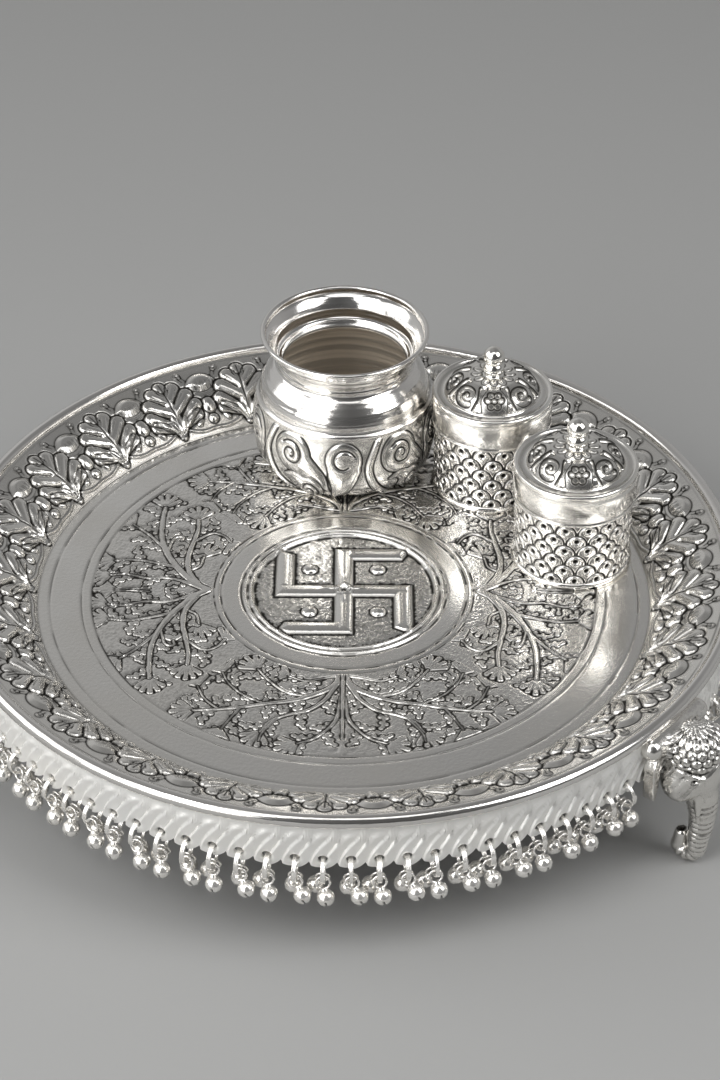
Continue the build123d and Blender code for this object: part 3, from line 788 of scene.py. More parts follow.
def build_floor(material):
    """Rings of the tray's floor, each with rows and columns of points as fine as its ornament."""
    rings = {
        "tray_medallion": (AXIS_R, SPRAY_IN_R, 138, 660),
        "tray_band": (LINE_R, FLOOR_R, 30, 1500),
    }
    edges = (SPRAY_IN_R, *SPRAY_SPLITS, LINE_R)
    for number, (low, high) in enumerate(zip(edges, edges[1:])):
        rings[f"tray_spray_{number + 1}"] = (low, high, 58, 1500)
    for name, (low, high, count, columns) in rings.items():
        r = np.linspace(low, high, count)
        theta = angles(columns)[None, :]
        relief = floor_relief(r[:, None] + 0 * theta, theta + 0 * r[:, None])
        tray_ring(name, r, np.full(count, FLOOR_Z), relief, columns, material)


def build_wall(material):
    """Border wall in three rings, one above the other."""
    r, z = wall_profile(WALL_ROWS)
    run, rise = WALL_TOP_R - FLOOR_R, WALL_TOP_Z - FLOOR_Z
    v = ((r - FLOOR_R) * run + (z - FLOOR_Z) * rise) / hypot(run, rise)
    height, dark = wall_relief(r[:, None], v[:, None], angles(WALL_COLUMNS)[None, :])
    dark += np.clip((blurred(height, 3) - height) * 0.9, -0.15, 0.4)
    third = (WALL_ROWS - 1) // 3
    for part, name in enumerate(("lower", "middle", "upper")):
        rows = slice(part * third, (part + 1) * third + 1)
        tray_ring("tray_wall_" + name, r[rows], z[rows], (height[rows], dark[rows]), WALL_COLUMNS, material)


# Skirt

def scallop_edge(u, pitch):
    """Height of the scalloped lower edge along one scallop."""
    half = pitch / 2
    radius = (half**2 + SCALLOP_DEPTH**2) / (2 * SCALLOP_DEPTH)
    return SKIRT_BOTTOM + radius - np.sqrt(np.maximum(radius**2 - u**2, 0))


def skirt_tile(pitch, pierced):
    """Flat tile of the skirt round one hole: offsets along the skirt and heights, from the hole outwards."""
    half = pitch / 2
    around = angles(SKIRT_RAYS)
    hole = HOLE_R if pierced else 0.05
    cx, cz = np.cos(around), np.sin(around)
    limit = np.where(np.abs(cx) > 1e-9, half / np.maximum(np.abs(cx), 1e-9), 1e9)
    limit = np.minimum(limit, np.where(cz > 1e-9, (SKIRT_TOP - HOLE_Z) / np.maximum(cz, 1e-9), 1e9))
    reach = np.full(SKIRT_RAYS, 0.5)
    for _ in range(60):
        u = np.clip(reach * cx, -half, half)
        floor = scallop_edge(u, pitch)
        reach = np.where((cz < 0) & (HOLE_Z + reach * cz <= floor), reach, reach + 0.1)
    low = np.where(cz < 0, np.minimum(limit, reach), limit)
    edge_u = np.clip(low * cx, -half, half)
    edge_z = HOLE_Z + low * cz
    below = (cz < 0) & (low < limit - 1e-6)
    edge_z = np.where(below, scallop_edge(edge_u, pitch), edge_z)
    t = np.linspace(0, 1, SKIRT_STEPS)[:, None] ** 1.25
    u = hole * cx + (edge_u - hole * cx) * t
    z = HOLE_Z + hole * cz + (edge_z - HOLE_Z - hole * cz) * t
    return u, z


def skirt_relief(u, z, pitch):
    """Outward relief of two leaning flutes to a scallop, and a collar round the hole, with painted shade
    along the creases between the flutes and round the hole's rim.
    """
    climb = (z - SKIRT_BOTTOM) / (SKIRT_TOP - SKIRT_BOTTOM)
    lean = 0.62 * np.clip(climb / 0.62, 0, 2) ** 1.8
    phase = (-2 * (u / pitch + lean)) % 1.0
    flute = ease(0.0, 0.16, phase) * (1 - phase) ** 0.8
    far = np.hypot(u, z - HOLE_Z)
    collar = line(far - HOLE_R - 0.35, 0.42)
    calm = ease(0.80, 0.68, climb) * ease(HOLE_R, HOLE_R + 1.2, far)
    height = flute * calm + 0.30 * collar
    # Painted shade: dark lines along the creases between the flutes and round the rim of the hole
    dark = 0.30 * line(phase, 0.09) * calm + 0.10 * line(far - HOLE_R, 0.2)
    return height, dark


def covered(scallop):
    """Whether a foot covers a scallop, counted from the first foot's angle."""
    per_arc = SCALLOPS // len(FOOT_ANGLES)
    at = scallop % per_arc
    return at < EMPTY_SCALLOPS / 2 or at >= per_arc - EMPTY_SCALLOPS / 2


def build_skirt(material):
    """Skirt in three arcs, each from one foot to the next, of a tile for each scallop."""
    pitch = 2 * pi * SKIRT_R / SCALLOPS
    per_arc = SCALLOPS // len(FOOT_ANGLES)
    for arc, name in enumerate(ARC_NAMES):
        form = Form()
        for number in range(per_arc):
            u, z = skirt_tile(pitch, not covered(number))
            height, dark = skirt_relief(u, z, pitch)
            middle = radians(FOOT_ANGLES[arc]) + (number + 0.5) * 2 * pi / SCALLOPS
            theta = middle - u / SKIRT_R
            outer = SKIRT_R + SKIRT_SHEET / 2 + height
            inner = SKIRT_R - SKIRT_SHEET / 2 + 0 * height
            front = np.stack([outer * np.cos(theta), outer * np.sin(theta), z], -1)
            back = np.stack([inner * np.cos(theta), inner * np.sin(theta), z], -1)[[-1, -9, 0]]
            shade = np.vstack([dark, np.zeros((3, u.shape[1]))])
            form.grid(np.vstack([front, back])[::-1], shade[::-1], wrap_rows=True)
        make_piece(form, "skirt_" + name, "thali", "silver_satin", material, "skirt")


# Bell fringe

def tube(path, radius, closed):
    """Round wire along a path, as rows of rings."""
    path = np.asarray(path, float)
    if closed:
        ahead, behind = np.roll(path, -1, axis=0), np.roll(path, 1, axis=0)
    else:
        ahead = np.vstack([path[1:], 2 * path[-1] - path[-2]])
        behind = np.vstack([2 * path[0] - path[1], path[:-1]])
    run = ahead - behind
    run /= np.linalg.norm(run, axis=1)[:, None]
    guide = np.array([1.0, 0.0, 0.0])
    first = np.cross(run, guide)
    first /= np.linalg.norm(first, axis=1)[:, None]
    second = np.cross(run, first)
    a = angles(WIRE_SIDES)[None, :, None]
    return path[:, None] + radius * (np.cos(a) * first[:, None] + np.sin(a) * second[:, None])


def ring_form():
    """Wound jump ring: a close helix of wire in the plane across the skirt, centred on its own middle."""
    wire = RING_WIDTH / 6
    t = np.linspace(0, 1, int(44 * RING_TURNS))
    a = 2 * pi * RING_TURNS * t
    x = -RING_WIDTH / 2 + wire + (RING_WIDTH - 2 * wire) * t
    rows = tube(np.stack([x, RING_R * np.sin(a), RING_R * np.cos(a)], -1), wire * 1.12, False)
    caps = [np.broadcast_to(end.mean(1, keepdims=True), end.shape) for end in (rows[:1], rows[-1:])]
    form = Form()
    form.grid(np.vstack([caps[0], rows, caps[1]]), 0.0)
    return form.arrays()


def bell_ball(form, open_r):
    """Ball of four petals under a seam, with a round mouth of the given radius below; its slits and mouth
    carry painted shade.
    """
    polar = np.linspace(0.03, pi - 0.03, 30)[:, None]
    a = angles(36)[None, :]
    up = np.cos(polar)
    slit = np.minimum(np.abs(np.sin(a)), np.abs(np.cos(a))) * np.sin(polar) * BELL_R
    groove = line(slit, 0.30) * (up < -0.12) * ease(-0.10, -0.30, up + 0 * a)
    radius = BELL_R * (0.965 + 0.035 * line(up, 0.06)) + 0 * a
    radius = radius - 0.55 * groove
    girth = BELL_R * np.sin(polar) + 0 * a
    mouth = (up < 0) * (open_r > 0)
    pit = ease(open_r + 0.15, open_r - 0.25, girth) * mouth
    radius = radius - 1.2 * pit
    radius = radius + 0.1 * line(girth - open_r - 0.3, 0.25) * mouth
    wide = radius * np.sin(polar)
    points = np.stack([wide * np.cos(a), wide * np.sin(a), radius * up - BELL_DROP], -1)
    # Painted shade: the slit grooves and the mouth's pit are painted near black for the dark inside that
    # shows through a bell's slits and mouth; the faint line below the middle is the seam
    dark = 0.95 * groove + 0.95 * pit + 0.25 * line(up + 0.07, 0.05)
    form.grid(points, dark + 0 * a)


def bell_form(open_r):
    """Slit bell in its loop's frame: a ball that hangs from a wire loop by a collar."""
    form = Form()
    bell_ball(form, open_r)
    turn = angles(26)
    loop = np.stack([LOOP_R * np.sin(turn), 0 * turn, LOOP_R * np.cos(turn)], -1)
    wire = tube(loop[:, [1, 0, 2]], LOOP_WIRE, True)[..., [1, 0, 2]]
    form.grid(wire, 0.05, wrap_rows=True)
    a = angles(36)[None, :]
    neck = np.linspace(0, 1, 4)[:, None]
    collar = spun_points(1.1 - 0.35 * neck, -BELL_DROP + BELL_R - 0.35 + 0.75 * neck, a)
    form.grid(collar[::-1], 0.15)
    return form.arrays()


def turn_x(points, angle):
    c, s = cos(angle), sin(angle)
    return points @ np.array([[1, 0, 0], [0, c, s], [0, -s, c]])


def turn_y(points, angle):
    c, s = cos(angle), sin(angle)
    return points @ np.array([[c, 0, -s], [0, 1, 0], [s, 0, c]])


def turn_z(points, angle):
    c, s = cos(angle), sin(angle)
    return points @ np.array([[c, s, 0], [-s, c, 0], [0, 0, 1]])


def at_hole(points, side, pitch, middle):
    """Points of a ring or bell in its hole's frame, set at the hole on one side of a pair's middle angle."""
    hung = turn_z(points + [0, SKIRT_R, HOLE_Z], -side * pitch / 2)
    return turn_z(hung, middle - pi / 2)


def build_bells(material):
    """Pairs of jump rings in neighbouring holes, with an outer and an inner bell on each ring."""
    pitch = 2 * pi / SCALLOPS
    hole_chord = 2 * SKIRT_R * sin(pitch / 2)
    pair_chord = 2 * SKIRT_R * sin(pitch)
    reach = LOOP_DROP + BELL_DROP
    step = (pair_chord - PAIR_GAP - 2 * BELL_R) / 3
    row_gap = sqrt(max(0.0, (2 * BELL_R + BELL_GAP) ** 2 - step**2)) / 2
    least = asin((LOOP_WIRE + BELL_GAP / 2) / (RING_R + LOOP_DROP - LOOP_R))
    ring = ring_form()
    bells = [bell_form(0.0), bell_form(BELL_MOUTH)]
    rng = np.random.default_rng(5)
    for arc, name in enumerate(ARC_NAMES):
        for pair in range(PAIRS_PER_ARC):
            middle = radians(FOOT_ANGLES[arc]) + (EMPTY_SCALLOPS / 2 + 2 * pair + 1) * pitch
            form = Form()
            for number in range(4):
                side = -1 if number < 2 else 1
                row = 1 if number % 2 == 0 else -1
                shift = (number - 1.5) * step - side * hole_chord / 2
                tilt = asin(shift / reach)
                spread = max(least, asin(row_gap / (RING_R + reach * cos(tilt))))
                if row == 1:
                    points, quads, tarnish_and_shade = ring
                    wound = turn_x(points, rng.uniform(0, 2 * pi)) + [0, 0, -RING_R]
                    form.add(at_hole(wound, side, pitch, middle), quads, tarnish_and_shade)
                points, quads, tarnish_and_shade = bells[int(rng.uniform() < 0.3)]
                placed = turn_y(points + [0, 0, -LOOP_DROP], -tilt) + [0, 0, -RING_R]
                placed = turn_x(placed, row * spread) + [0, 0, -RING_R]
                form.add(at_hole(placed, side, pitch, middle), quads, tarnish_and_shade)
            label = f"{name}_{pair + 1:02d}"
            body, node = "fringe_" + label, "bells_" + label
            make_piece(form, "bell_pair_" + label, body, "silver_bells", material, node)


# Elephant feet

def capsule(p, a, b, start, end):
    """Distance to a tapered rod from a to b."""
    a, d = np.asarray(a, float), np.asarray(b, float) - np.asarray(a, float)
    rel = p - a
    t = np.clip(rel @ d / (d @ d), 0, 1)
    return np.linalg.norm(rel - t[..., None] * d, axis=-1) - (start + (end - start) * t), t


def ellipsoid(p, centre, radii):
    """Near enough distance to an ellipsoid."""
    rel = (p - np.asarray(centre, float)) / np.asarray(radii, float)
    k = np.linalg.norm(rel, axis=-1)
    slope = np.linalg.norm(rel / np.asarray(radii, float), axis=-1)
    return k * (k - 1) / np.maximum(slope, 1e-6)


def melt(a, b, soft):
    """Union of two forms with a fillet of about the given size."""
    h = np.clip(0.5 + 0.5 * (b - a) / soft, 0, 1)
    return b + (a - b) * h - soft * h * (1 - h)


def trunk_path():
    """Points down the trunk and round its curl, with the radius at each."""
    run = [*TRUNK, (CURL_OUT + CURL_R, CURL_Z, 3.0)]
    for turn in np.radians(CURL_DEGREES):
        run.append((CURL_OUT + CURL_R * cos(turn), CURL_Z - CURL_R * sin(turn), 2.9 - 0.4 * turn / pi))
    run.append(TRUNK_TIP)
    points = np.array([(0, out, up) for out, up, _ in run])
    return points, [radius for _, _, radius in run]


def blurred_volume(field, reach):
    """Mean of a volume over a small cube."""
    for axis in range(3):
        field = sum(np.roll(field, k, axis=axis) for k in range(-reach, reach + 1)) / (2 * reach + 1)
    return field


def elephant_skull(p, half):
    """Distance to the skull, brow, cheeks and shoulders: half has both sides folded onto one."""
    solid = ellipsoid(p, (0, 131.0, 36.5), (9.8, 8.8, 9.4))
    solid = melt(solid, ellipsoid(p, (0, 133.0, 43.6), (8.8, 8.2, 8.2)), 3.0)
    solid = melt(solid, ellipsoid(half, (6.2, 131.5, 33.0), (4.6, 5.2, 5.6)), 2.5)
    solid = melt(solid, ellipsoid(p, (0, 136.4, 35.6), (6.6, 5.0, 6.4)), 2.5)
    shoulder, _ = capsule(half, (0, 125.0, 46.2), (11.5, 124.6, 46.6), 4.4, 3.6)
    return melt(solid, shoulder, 3.0)


def elephant_trunk(p):
    """Distance to the trunk with ribs across its front, and its tarnish."""
    q, z = p[..., 1], p[..., 2]
    path, radii = trunk_path()
    trunk = np.full(q.shape, 99.0)
    along = np.zeros(q.shape)
    run = 0.0
    for i in range(len(path) - 1):
        length = np.linalg.norm(path[i + 1] - path[i])
        far, t = capsule(p, path[i], path[i + 1], radii[i], radii[i + 1])
        along = np.where(far < trunk, run + t * length, along)
        trunk = np.minimum(trunk, far)
        run += length
    outward = np.where(z > CURL_Z, q - 135.5, np.hypot(q - CURL_OUT, z - CURL_Z) - 2.6)
    ribbed = ease(-1.2, 0.8, outward) * ease(4.0, 7.0, along) * ease(run - 2.0, run - 5.0, along)
    ribs = np.abs(np.sin(pi * along / 2.1))
    return trunk - 0.42 * (ribs - 0.55) * ribbed, 0.45 * ribbed * line(ribs, 0.3)


def elephant_ears(ax, q, z):
    """Distance to the hatched ears, and their tarnish."""
    leaf = Drawing(ax, z)
    leaf.stroke(smooth_path([(9.6, 43.5), (11.8, 38.0), (12.4, 33.0), (12.6, 29.4)]), 3.0, 1.0)
    leaf.lobe((10.8, 40.5), 3.6)
    plate = np.maximum(leaf.solid, np.abs(q - 125.2 - 0.12 * (ax - 9)) - 1.9)
    hatch = np.abs(np.sin(pi * (z * 0.85 + ax * 0.5) / 1.7))
    inner = ease(0.0, -1.2, leaf.solid)
    plate = plate - 0.30 * (hatch - 0.5) * inner + 0.25 * line(leaf.solid + 2.6, 0.5)
    return plate, 0.5 * ease(0.35, 0.0, hatch) * inner * (q > 125.5)


def elephant_headdress(x, q, z):
    """Depth and tarnish of the ringed beads above the brow, and of the band below them."""
    ax = np.abs(x)
    lon, lat = np.arctan2(x, q - 131.0) * 8.6, (z - 42.0) * 1.02
    row = np.round(lat / 2.5)
    cell = (lon + (row % 2) * 1.45) / 2.9
    bead = np.hypot((cell - np.round(cell)) * 2.9, lat - row * 2.5)
    brow = 41.2 + 1.2 * np.cos(x * 0.55) * (ax < 8)
    dressed = ease(brow + 0.4, brow + 1.4, z) * ease(10.5, 8.5, ax) * ease(127.0, 129.0, q)
    front = ease(10.0, 8.0, ax) * (q > 131)
    band = line(z - brow, 0.55) * front
    bump = dome(bead, 1.3, 0.75) - 0.55 * line(bead, 0.45)
    depth = 0.45 * band - bump * dressed - 0.35 * line(z - brow + 1.3, 0.6) * front
    return depth, 0.45 * band + dressed * (0.55 * ease(1.0, 1.5, bead) + 0.5 * line(bead, 0.5))


def elephant_face(x, q, z):
    """Depth and tarnish of the eyes and the punched cheeks."""
    ax = np.abs(x)
    eye = np.hypot(0.55 * (ax - 6.9) - 0.35 * (q - 137.0), z - 37.8 + 0.25 * (ax - 6.9))
    eyes = line(eye, 0.7) * (q > 132) * (ax > 4.2) * (ax < 9.4)
    lids = line(eye - 1.3, 0.5) * (q > 132) * (ax > 4.0) * (ax < 9.6)
    grit = noise(x + 0.37 * z, q - 0.61 * z, 0.8, 51)
    punched = ease(5.0, 7.0, ax) * ease(29.0, 32.0, z) * ease(43.0, 40.0, z) * ease(126.5, 128.5, q)
    depth = 0.5 * eyes - 0.4 * lids - 0.18 * grit * punched
    return depth, 0.5 * eyes + 0.35 * punched * ease(0.1, -0.5, grit)


def elephant_form():
    """Elephant head with a jewelled headdress on its curled trunk: x along the rim, y outwards, z up."""
    axes = [np.arange(a, b, ELEPHANT_STEP) for a, b in zip(ELEPHANT_LOW, ELEPHANT_HIGH)]
    p = np.stack(np.meshgrid(*axes, indexing="ij"), -1)
    x, q, z = p[..., 0], p[..., 1], p[..., 2]
    half = np.stack([np.abs(x), q, z], -1)
    trunk, trunk_dark = elephant_trunk(p)
    solid = melt(elephant_skull(p, half), trunk, 1.6)
    tusk, _ = capsule(half, (4.3, 137.2, 30.5), (5.0, 138.4, 20.4), 1.45, 0.5)
    solid = melt(solid, tusk, 0.35)
    ears, dark = elephant_ears(half[..., 0], q, z)
    solid = melt(solid, ears, 0.5)
    for depth, shade in (elephant_headdress(x, q, z), elephant_face(x, q, z)):
        solid = solid + depth
        dark = dark + shade
    nostril = np.linalg.norm(p - np.array([0, 130.2, 11.0]), axis=-1)
    solid = np.maximum(solid, 1.55 - nostril)
    solid = np.maximum(solid, np.maximum(-z, SKIRT_R - 0.1 - np.hypot(x, q)))
    hollow = np.clip(-blurred_volume(solid, 3) * 2.4 - 0.10, 0, 1)
    dark = dark + trunk_dark + hollow + 0.9 * ease(2.4, 1.5, nostril)
    volume = openvdb.FloatGrid(9.0)
    volume.copyFromArray(solid.astype(np.float32))
    points, quads = volume.convertToQuads(0.0)
    at = np.clip(np.round(points).astype(int), 0, np.array(solid.shape) - 1)
    tarnish_and_shade = np.clip(dark, 0, 1)[at[:, 0], at[:, 1], at[:, 2]]
    return np.array(ELEPHANT_LOW) + points * ELEPHANT_STEP, quads, tarnish_and_shade


def build_feet(material):
    points, quads, tarnish_and_shade = elephant_form()
    for name, angle in zip(FOOT_NAMES, FOOT_ANGLES):
        form = Form()
        form.add(turn_z(points, radians(angle) - pi / 2), quads, tarnish_and_shade)
        make_piece(form, "elephant_" + name, "thali", "silver_cast", material, "foot_" + name)


# Kalash

def arc_run(start, end, rise, steps):
    """Points from start to end that bow by rise to the right of the straight line, without the last point."""
    t = np.linspace(0, 1, steps, endpoint=False)
    dr, dz = end[0] - start[0], end[1] - start[1]
    length = hypot(dr, dz)
    bend = 4 * t * (1 - t) * rise
    return np.stack([start[0] + dr * t + bend * dz / length, start[1] + dz * t - bend * dr / length], -1)


def scroll_relief(u, v, width):
    """Relief and tarnish of the chased leaves round the kalash, over tiles of the given width."""
    height = np.zeros(u.shape)
    dark = np.full(u.shape, 0.18)
    for shift in (0.0, width):
        more = scroll_tile(u % width - shift, v / SCROLL_STRETCH)
        height = np.maximum(height, more[0])
        dark = np.maximum(dark, more[1])
    fade = ease(0.4, 2.0, v) * ease(27.2, 26.4, v)
    return height * fade, dark * fade


def scroll_tile(u, v):
    """One tile: a bent stem, an upper and a lower paisley with a curl in each, and a round leaf."""
    stem = Drawing(u, v)
    stem.stroke(smooth_path([(7.5, 0.5), (1.2, 7.0), (-1.2, 14.0), (0.6, 20.0), (3.4, 25.5)], 4), 1.5, 1.0)
    upper = Drawing(u, v)
    upper.lobe((9.8, 17.2), 6.8)
    upper.stroke(smooth_path([(11.8, 15.0), (16.0, 12.6), (19.5, 10.4), (22.0, 5.5)], 4), 5.4, 0.6)
    lower = Drawing(u, v)
    lower.lobe((15.6, 5.2), 4.9)
    lower.stroke(smooth_path([(14.0, 6.6), (10.5, 9.2), (6.4, 8.6)], 4), 3.0, 0.4)
    round_leaf = Drawing(u, v)
    round_leaf.lobe((27.6, 17.4), 6.0)
    round_leaf.stroke(smooth_path([(27.6, 14.0), (26.6, 7.0), (23.4, 1.2)], 4), 5.6, 0.6)
    height = np.zeros(u.shape)
    dark = np.zeros(u.shape)
    for art, depth, rise in ((round_leaf, 5.6, 1.3), (upper, 6.0, 1.5), (lower, 4.6, 1.6), (stem, 1.5, 1.2)):
        over = ease(0.3, 0.0, art.solid)
        height = np.maximum(height * (1 - over), rise * np.sqrt(np.clip(-art.solid / depth, 0, 1)))
        dark = dark * (1 - over) + line(art.solid - 0.1, 0.44)
        if art is not stem:
            dark += 0.75 * line(art.solid + 1.25, 0.30)
    curls = Drawing(u, v)
    curls.vein(spiral_path((9.8, 17.4), 2.4, -1.6, 4.4, 0.8))
    curls.vein(spiral_path((15.6, 5.2), -0.7, 1.5, 3.2, 0.7))
    curls.vein(spiral_path((27.6, 17.4), 0.4, 0.8, 4.0, 2.4))
    height -= 0.5 * line(curls.lines, 0.5)
    dark += line(curls.lines, 0.42)
    return height, dark


def build_kalash_bowl(material):
    columns = 620
    theta = angles(columns)[None, :]
    outer = np.vstack([
        arc_run((AXIS_R, 0.0), KALASH_BASE, 0.0, KALASH_BASE_ROWS),
        arc_run(KALASH_BASE, KALASH_HIP, KALASH_HIP_BOW, 36),
        arc_run(KALASH_HIP, KALASH_JOINT, KALASH_BELLY_BOW, 70),
    ])
    outer = np.vstack([outer[outer[:, 1] < KALASH_JOINT_Z], [KALASH_EDGE_R, KALASH_JOINT_Z]])
    r, z = outer.T
    run = run_length(outer)
    v = run - run[KALASH_BASE_ROWS] - SCROLL_START
    width = 2 * pi * SCROLL_WRAP_R / KALASH_TILES
    height, dark = scroll_relief(theta * SCROLL_WRAP_R + 0 * v[:, None], v[:, None] + 0 * theta, width)
    dark = dark + np.clip((blurred(height, 3) - height) * 0.8, 0, 0.4)
    inner = outer[::-3] + KALASH_WALL * np.stack(profile_normals(r, z), -1)[::-3]
    inner[0] = (KALASH_EDGE_R - KALASH_WALL, KALASH_JOINT_Z)
    inner = np.vstack([inner, [AXIS_R, KALASH_WALL]])
    inner[:, 0] += 0.06 * np.sin(inner[:, 1] * 2 * pi / 1.6)
    points = np.vstack([raised(r, z, -height, theta), turned(inner, theta)]) + [*KALASH_AT, FLOOR_Z]
    shade = np.vstack([dark, np.full((len(inner), columns), 0.36)])
    labels = ("kalash_bowl_chased", "kalash", "silver_chased", material, "kalash_bowl")
    closed_piece(points[::-1], shade[::-1], *labels)


def build_kalash_neck(material):
    """Spun shoulder, neck and lip: the profile runs up the outside, over the lip and down the inside."""
    outer = np.vstack([
        [(28.15, 27.2), (28.9, 27.2), (29.55, 27.45), (29.7, 28.0), (29.5, 28.6), (28.75, 28.85)],
        arc_run((28.6, 29.1), (23.2, 38.8), 1.0, 44),
        arc_run((23.2, 38.8), (22.4, 40.6), -0.1, 5),
        [(22.4, 40.7), (22.75, 40.95), (22.75, 41.4), (22.45, 41.7)],
        arc_run((22.45, 41.9), (26.3, 49.6), -1.3, 24),
        [(26.5, 49.7), (27.4, 50.2), (27.8, 50.75), (27.75, 51.25)],
        [(27.35, 51.65), (26.8, 51.65), (26.3, 51.3)],
        arc_run((26.1, 51.0), (25.3, 46.6), -0.2, 16),
        [(25.0, 46.2), (24.6, 46.0)],
        arc_run((24.4, 45.8), (22.6, 42.3), -0.2, 12),
        [(22.2, 41.9), (21.8, 41.8)],
        arc_run((21.6, 41.6), (20.6, 40.0), -0.1, 6),
        [(20.4, 39.7), (20.5, 39.3), (20.9, 39.0)],
        arc_run((21.2, 38.8), (27.0, 30.0), -1.0, 22),
        [(27.5, 28.6)],
    ])
    outer[:, 0] += 0.03 * np.sin(outer[:, 1] * 2 * pi / 1.9) + 0.03 * np.sin(outer[:, 1] * 2 * pi / 3.1)
    columns = 300
    theta = angles(columns)[None, :]
    points = turned(outer, theta) + [*KALASH_AT, FLOOR_Z]
    dark = np.zeros(len(outer))
    inner_start = int(np.argmax(outer[:, 1]))
    dark[inner_start + 40:] = 0.3
    dent = outer[:, 0] - np.convolve(np.pad(outer[:, 0], 2, "edge"), np.ones(5) / 5, "valid")
    dark += np.clip(-dent * 1.2, 0, 0.35)
    labels = ("kalash_neck_spun", "kalash", "silver_polished", material, "kalash_neck")
    closed_piece(points[::-1], dark[::-1, None], *labels)


def build_kalash_lining(material):
    """Dull skin on the inside of the kalash, with the rings that the spinning left."""
    inside = np.vstack([
        [(20.8, 39.0), (21.1, 38.6)],
        arc_run((21.2, 38.4), (26.8, 29.8), -1.0, 30),
        arc_run((27.2, 29.0), (27.75, 8.8), -1.0, 50),
        [(27.75, 8.8), (26.9, 6.3), (25.1, 3.95), (22.9, 2.2), (20.2, 1.2), (AXIS_R, 1.2)],
    ])
    inside[:-2, 0] -= 0.12 + 0.12 * np.sin(inside[:-2, 1] * 2 * pi / 1.7)
    nr, nz = profile_normals(*inside.T)
    back = (inside - 0.12 * np.stack([nr, nz], -1))[::-1]
    back[0] = (AXIS_R, 1.08)
    both = np.vstack([inside, back])
    theta = angles(200)[None, :]
    points = turned(both, theta) + [*KALASH_AT, FLOOR_Z]
    run = run_length(both)
    streaks = LINING_TARNISH * ease(-0.4, 0.6, noise(run, 0 * run, LINING_STREAK, 61))
    labels = ("kalash_lining", "kalash", "silver_chased", material, "kalash_bowl")
    closed_piece(points[::-1], streaks[::-1, None], *labels)


# Boxes

def scale_relief(u, v, pitch):
    """Relief and tarnish of overlapping scales with a ringed dot in each, the lower rows over the upper."""
    height = np.zeros(u.shape)
    dark = np.full(u.shape, 0.2)
    row_gap = SCALES_HEIGHT / SCALE_ROWS
    radius = pitch * 0.49
    for row in range(SCALE_ROWS, -2, -1):
        shift = pitch / 2 if row % 2 else 0.0
        du = (u + shift + pitch / 2) % pitch - pitch / 2
        dv = v - row * row_gap - 0.4
        far = np.where(dv > 0, np.hypot(du, dv), np.abs(du))
        inside = (far < radius) & (dv < radius)
        rim = line(far - radius + 0.30, 0.42)
        dot = np.hypot(du, dv - 0.35 * radius)
        shape = 0.4 * ease(radius - 0.1, radius - 0.8, far) - 0.3 * rim
        shape += 0.2 * line(dot - 1.35, 0.4) - 0.45 * ease(1.05, 0.6, dot)
        shade = rim + ease(1.05, 0.7, dot) + 0.45 * line(far - radius + 1.45, 0.2)
        height = np.where(inside, shape, height)
        dark = np.where(inside, shade, dark)
    return height, dark


def build_cup(name, place, material):
    columns = 620
    theta = angles(columns)[None, :]
    z = np.concatenate([np.linspace(0, SCALES_TOP, 92), [SCALES_TOP + 0.4, 30.0, CUP_H]])[:, None]
    height, dark = scale_relief(theta * CUP_R + 0 * z, z - 1.6 + 0 * theta, 2 * pi * CUP_R / SCALES)
    fade = ease(2.0, 2.5, z) * ease(SCALES_TOP, SCALES_TOP - 0.6, z)
    height, dark = (height - 0.35) * fade, dark * fade + 0.5 * line(z - 2.3, 0.3)
    outer = spun_points(CUP_R + np.minimum(height, 0.25), z, theta)
    inside_r = CUP_R - BOX_WALL
    inside = np.array([(inside_r, CUP_H), (inside_r, BOX_WALL), (AXIS_R, BOX_WALL), (AXIS_R, 0.0)])
    points = np.vstack([outer, turned(inside, theta)]) + [*place, FLOOR_Z]
    shade = np.vstack([dark, np.full((len(inside), columns), 0.1)])
    labels = (f"cup_{name}_scaled", name + "_box", "silver_chased", material, "cup_" + name)
    closed_piece(points[::-1], shade[::-1], *labels)


def dome_relief(run, r, theta):
    """Relief and tarnish of the scrolls round a lid's dome: run goes up the dome from its foot."""
    tile = 2 * pi / LID_TILES
    number = np.round(theta / tile).astype(int)
    u = (theta - number * tile) * r
    u = np.where(number % 2 == 0, u, -u)
    v = run - SCROLL_AT
    scroll = Drawing(u, v)
    scroll.stroke(spiral_path((0.0, 0.0), -2.2, 1.2, SCROLL_R - 0.9, 1.1), 1.15, 0.75)
    scroll.lobe((0.0, 0.0), 0.85)
    rose = Drawing(u, v)
    rose.lobe((0.0, 0.0), 1.0)
    for k in range(6):
        rose.lobe((2.2 * cos(k * pi / 3), 2.2 * sin(k * pi / 3)), 1.15)
    form = np.where(number % LID_TILES == ROSE_TILE, rose.solid, scroll.solid)
    leaf = Drawing(np.abs(u) - tile * r / 2, v)
    leaf.stroke([(0.0, -4.2), (0.0, 0.0)], 1.7, 0.5)
    leaf.stroke([(0.0, 0.0), (0.0, 4.2)], 0.5, 1.3)
    leaf.vein([(0.0, -4.6), (0.0, 4.2)])
    form = np.minimum(form, leaf.solid)
    rib = line(leaf.lines, 0.3) * ease(-0.3, -0.6, leaf.solid)
    height = 1.5 * np.sqrt(np.clip(-form / 1.1, 0, 1)) - 0.4 * rib
    dark = np.maximum(0.25 * ease(0.0, 0.3, form), line(form - 0.1, 0.45)) + 0.8 * rib
    fade = ease(0.3, 1.1, run) * ease(10.9, 10.2, run)
    return height * fade, dark * fade


def collar_relief(r, theta):
    """Relief and tarnish of the petals round the knob on the flat middle of a lid."""
    tile = 2 * pi / COLLAR_PETALS
    u = ((theta + tile / 2) % tile - tile / 2) * r
    far = np.hypot(u / 1.25, (r - COLLAR_R) / 1.8)
    return dome(far, 1.0, 0.6), 0.9 * line(far - 1.02, 0.2)


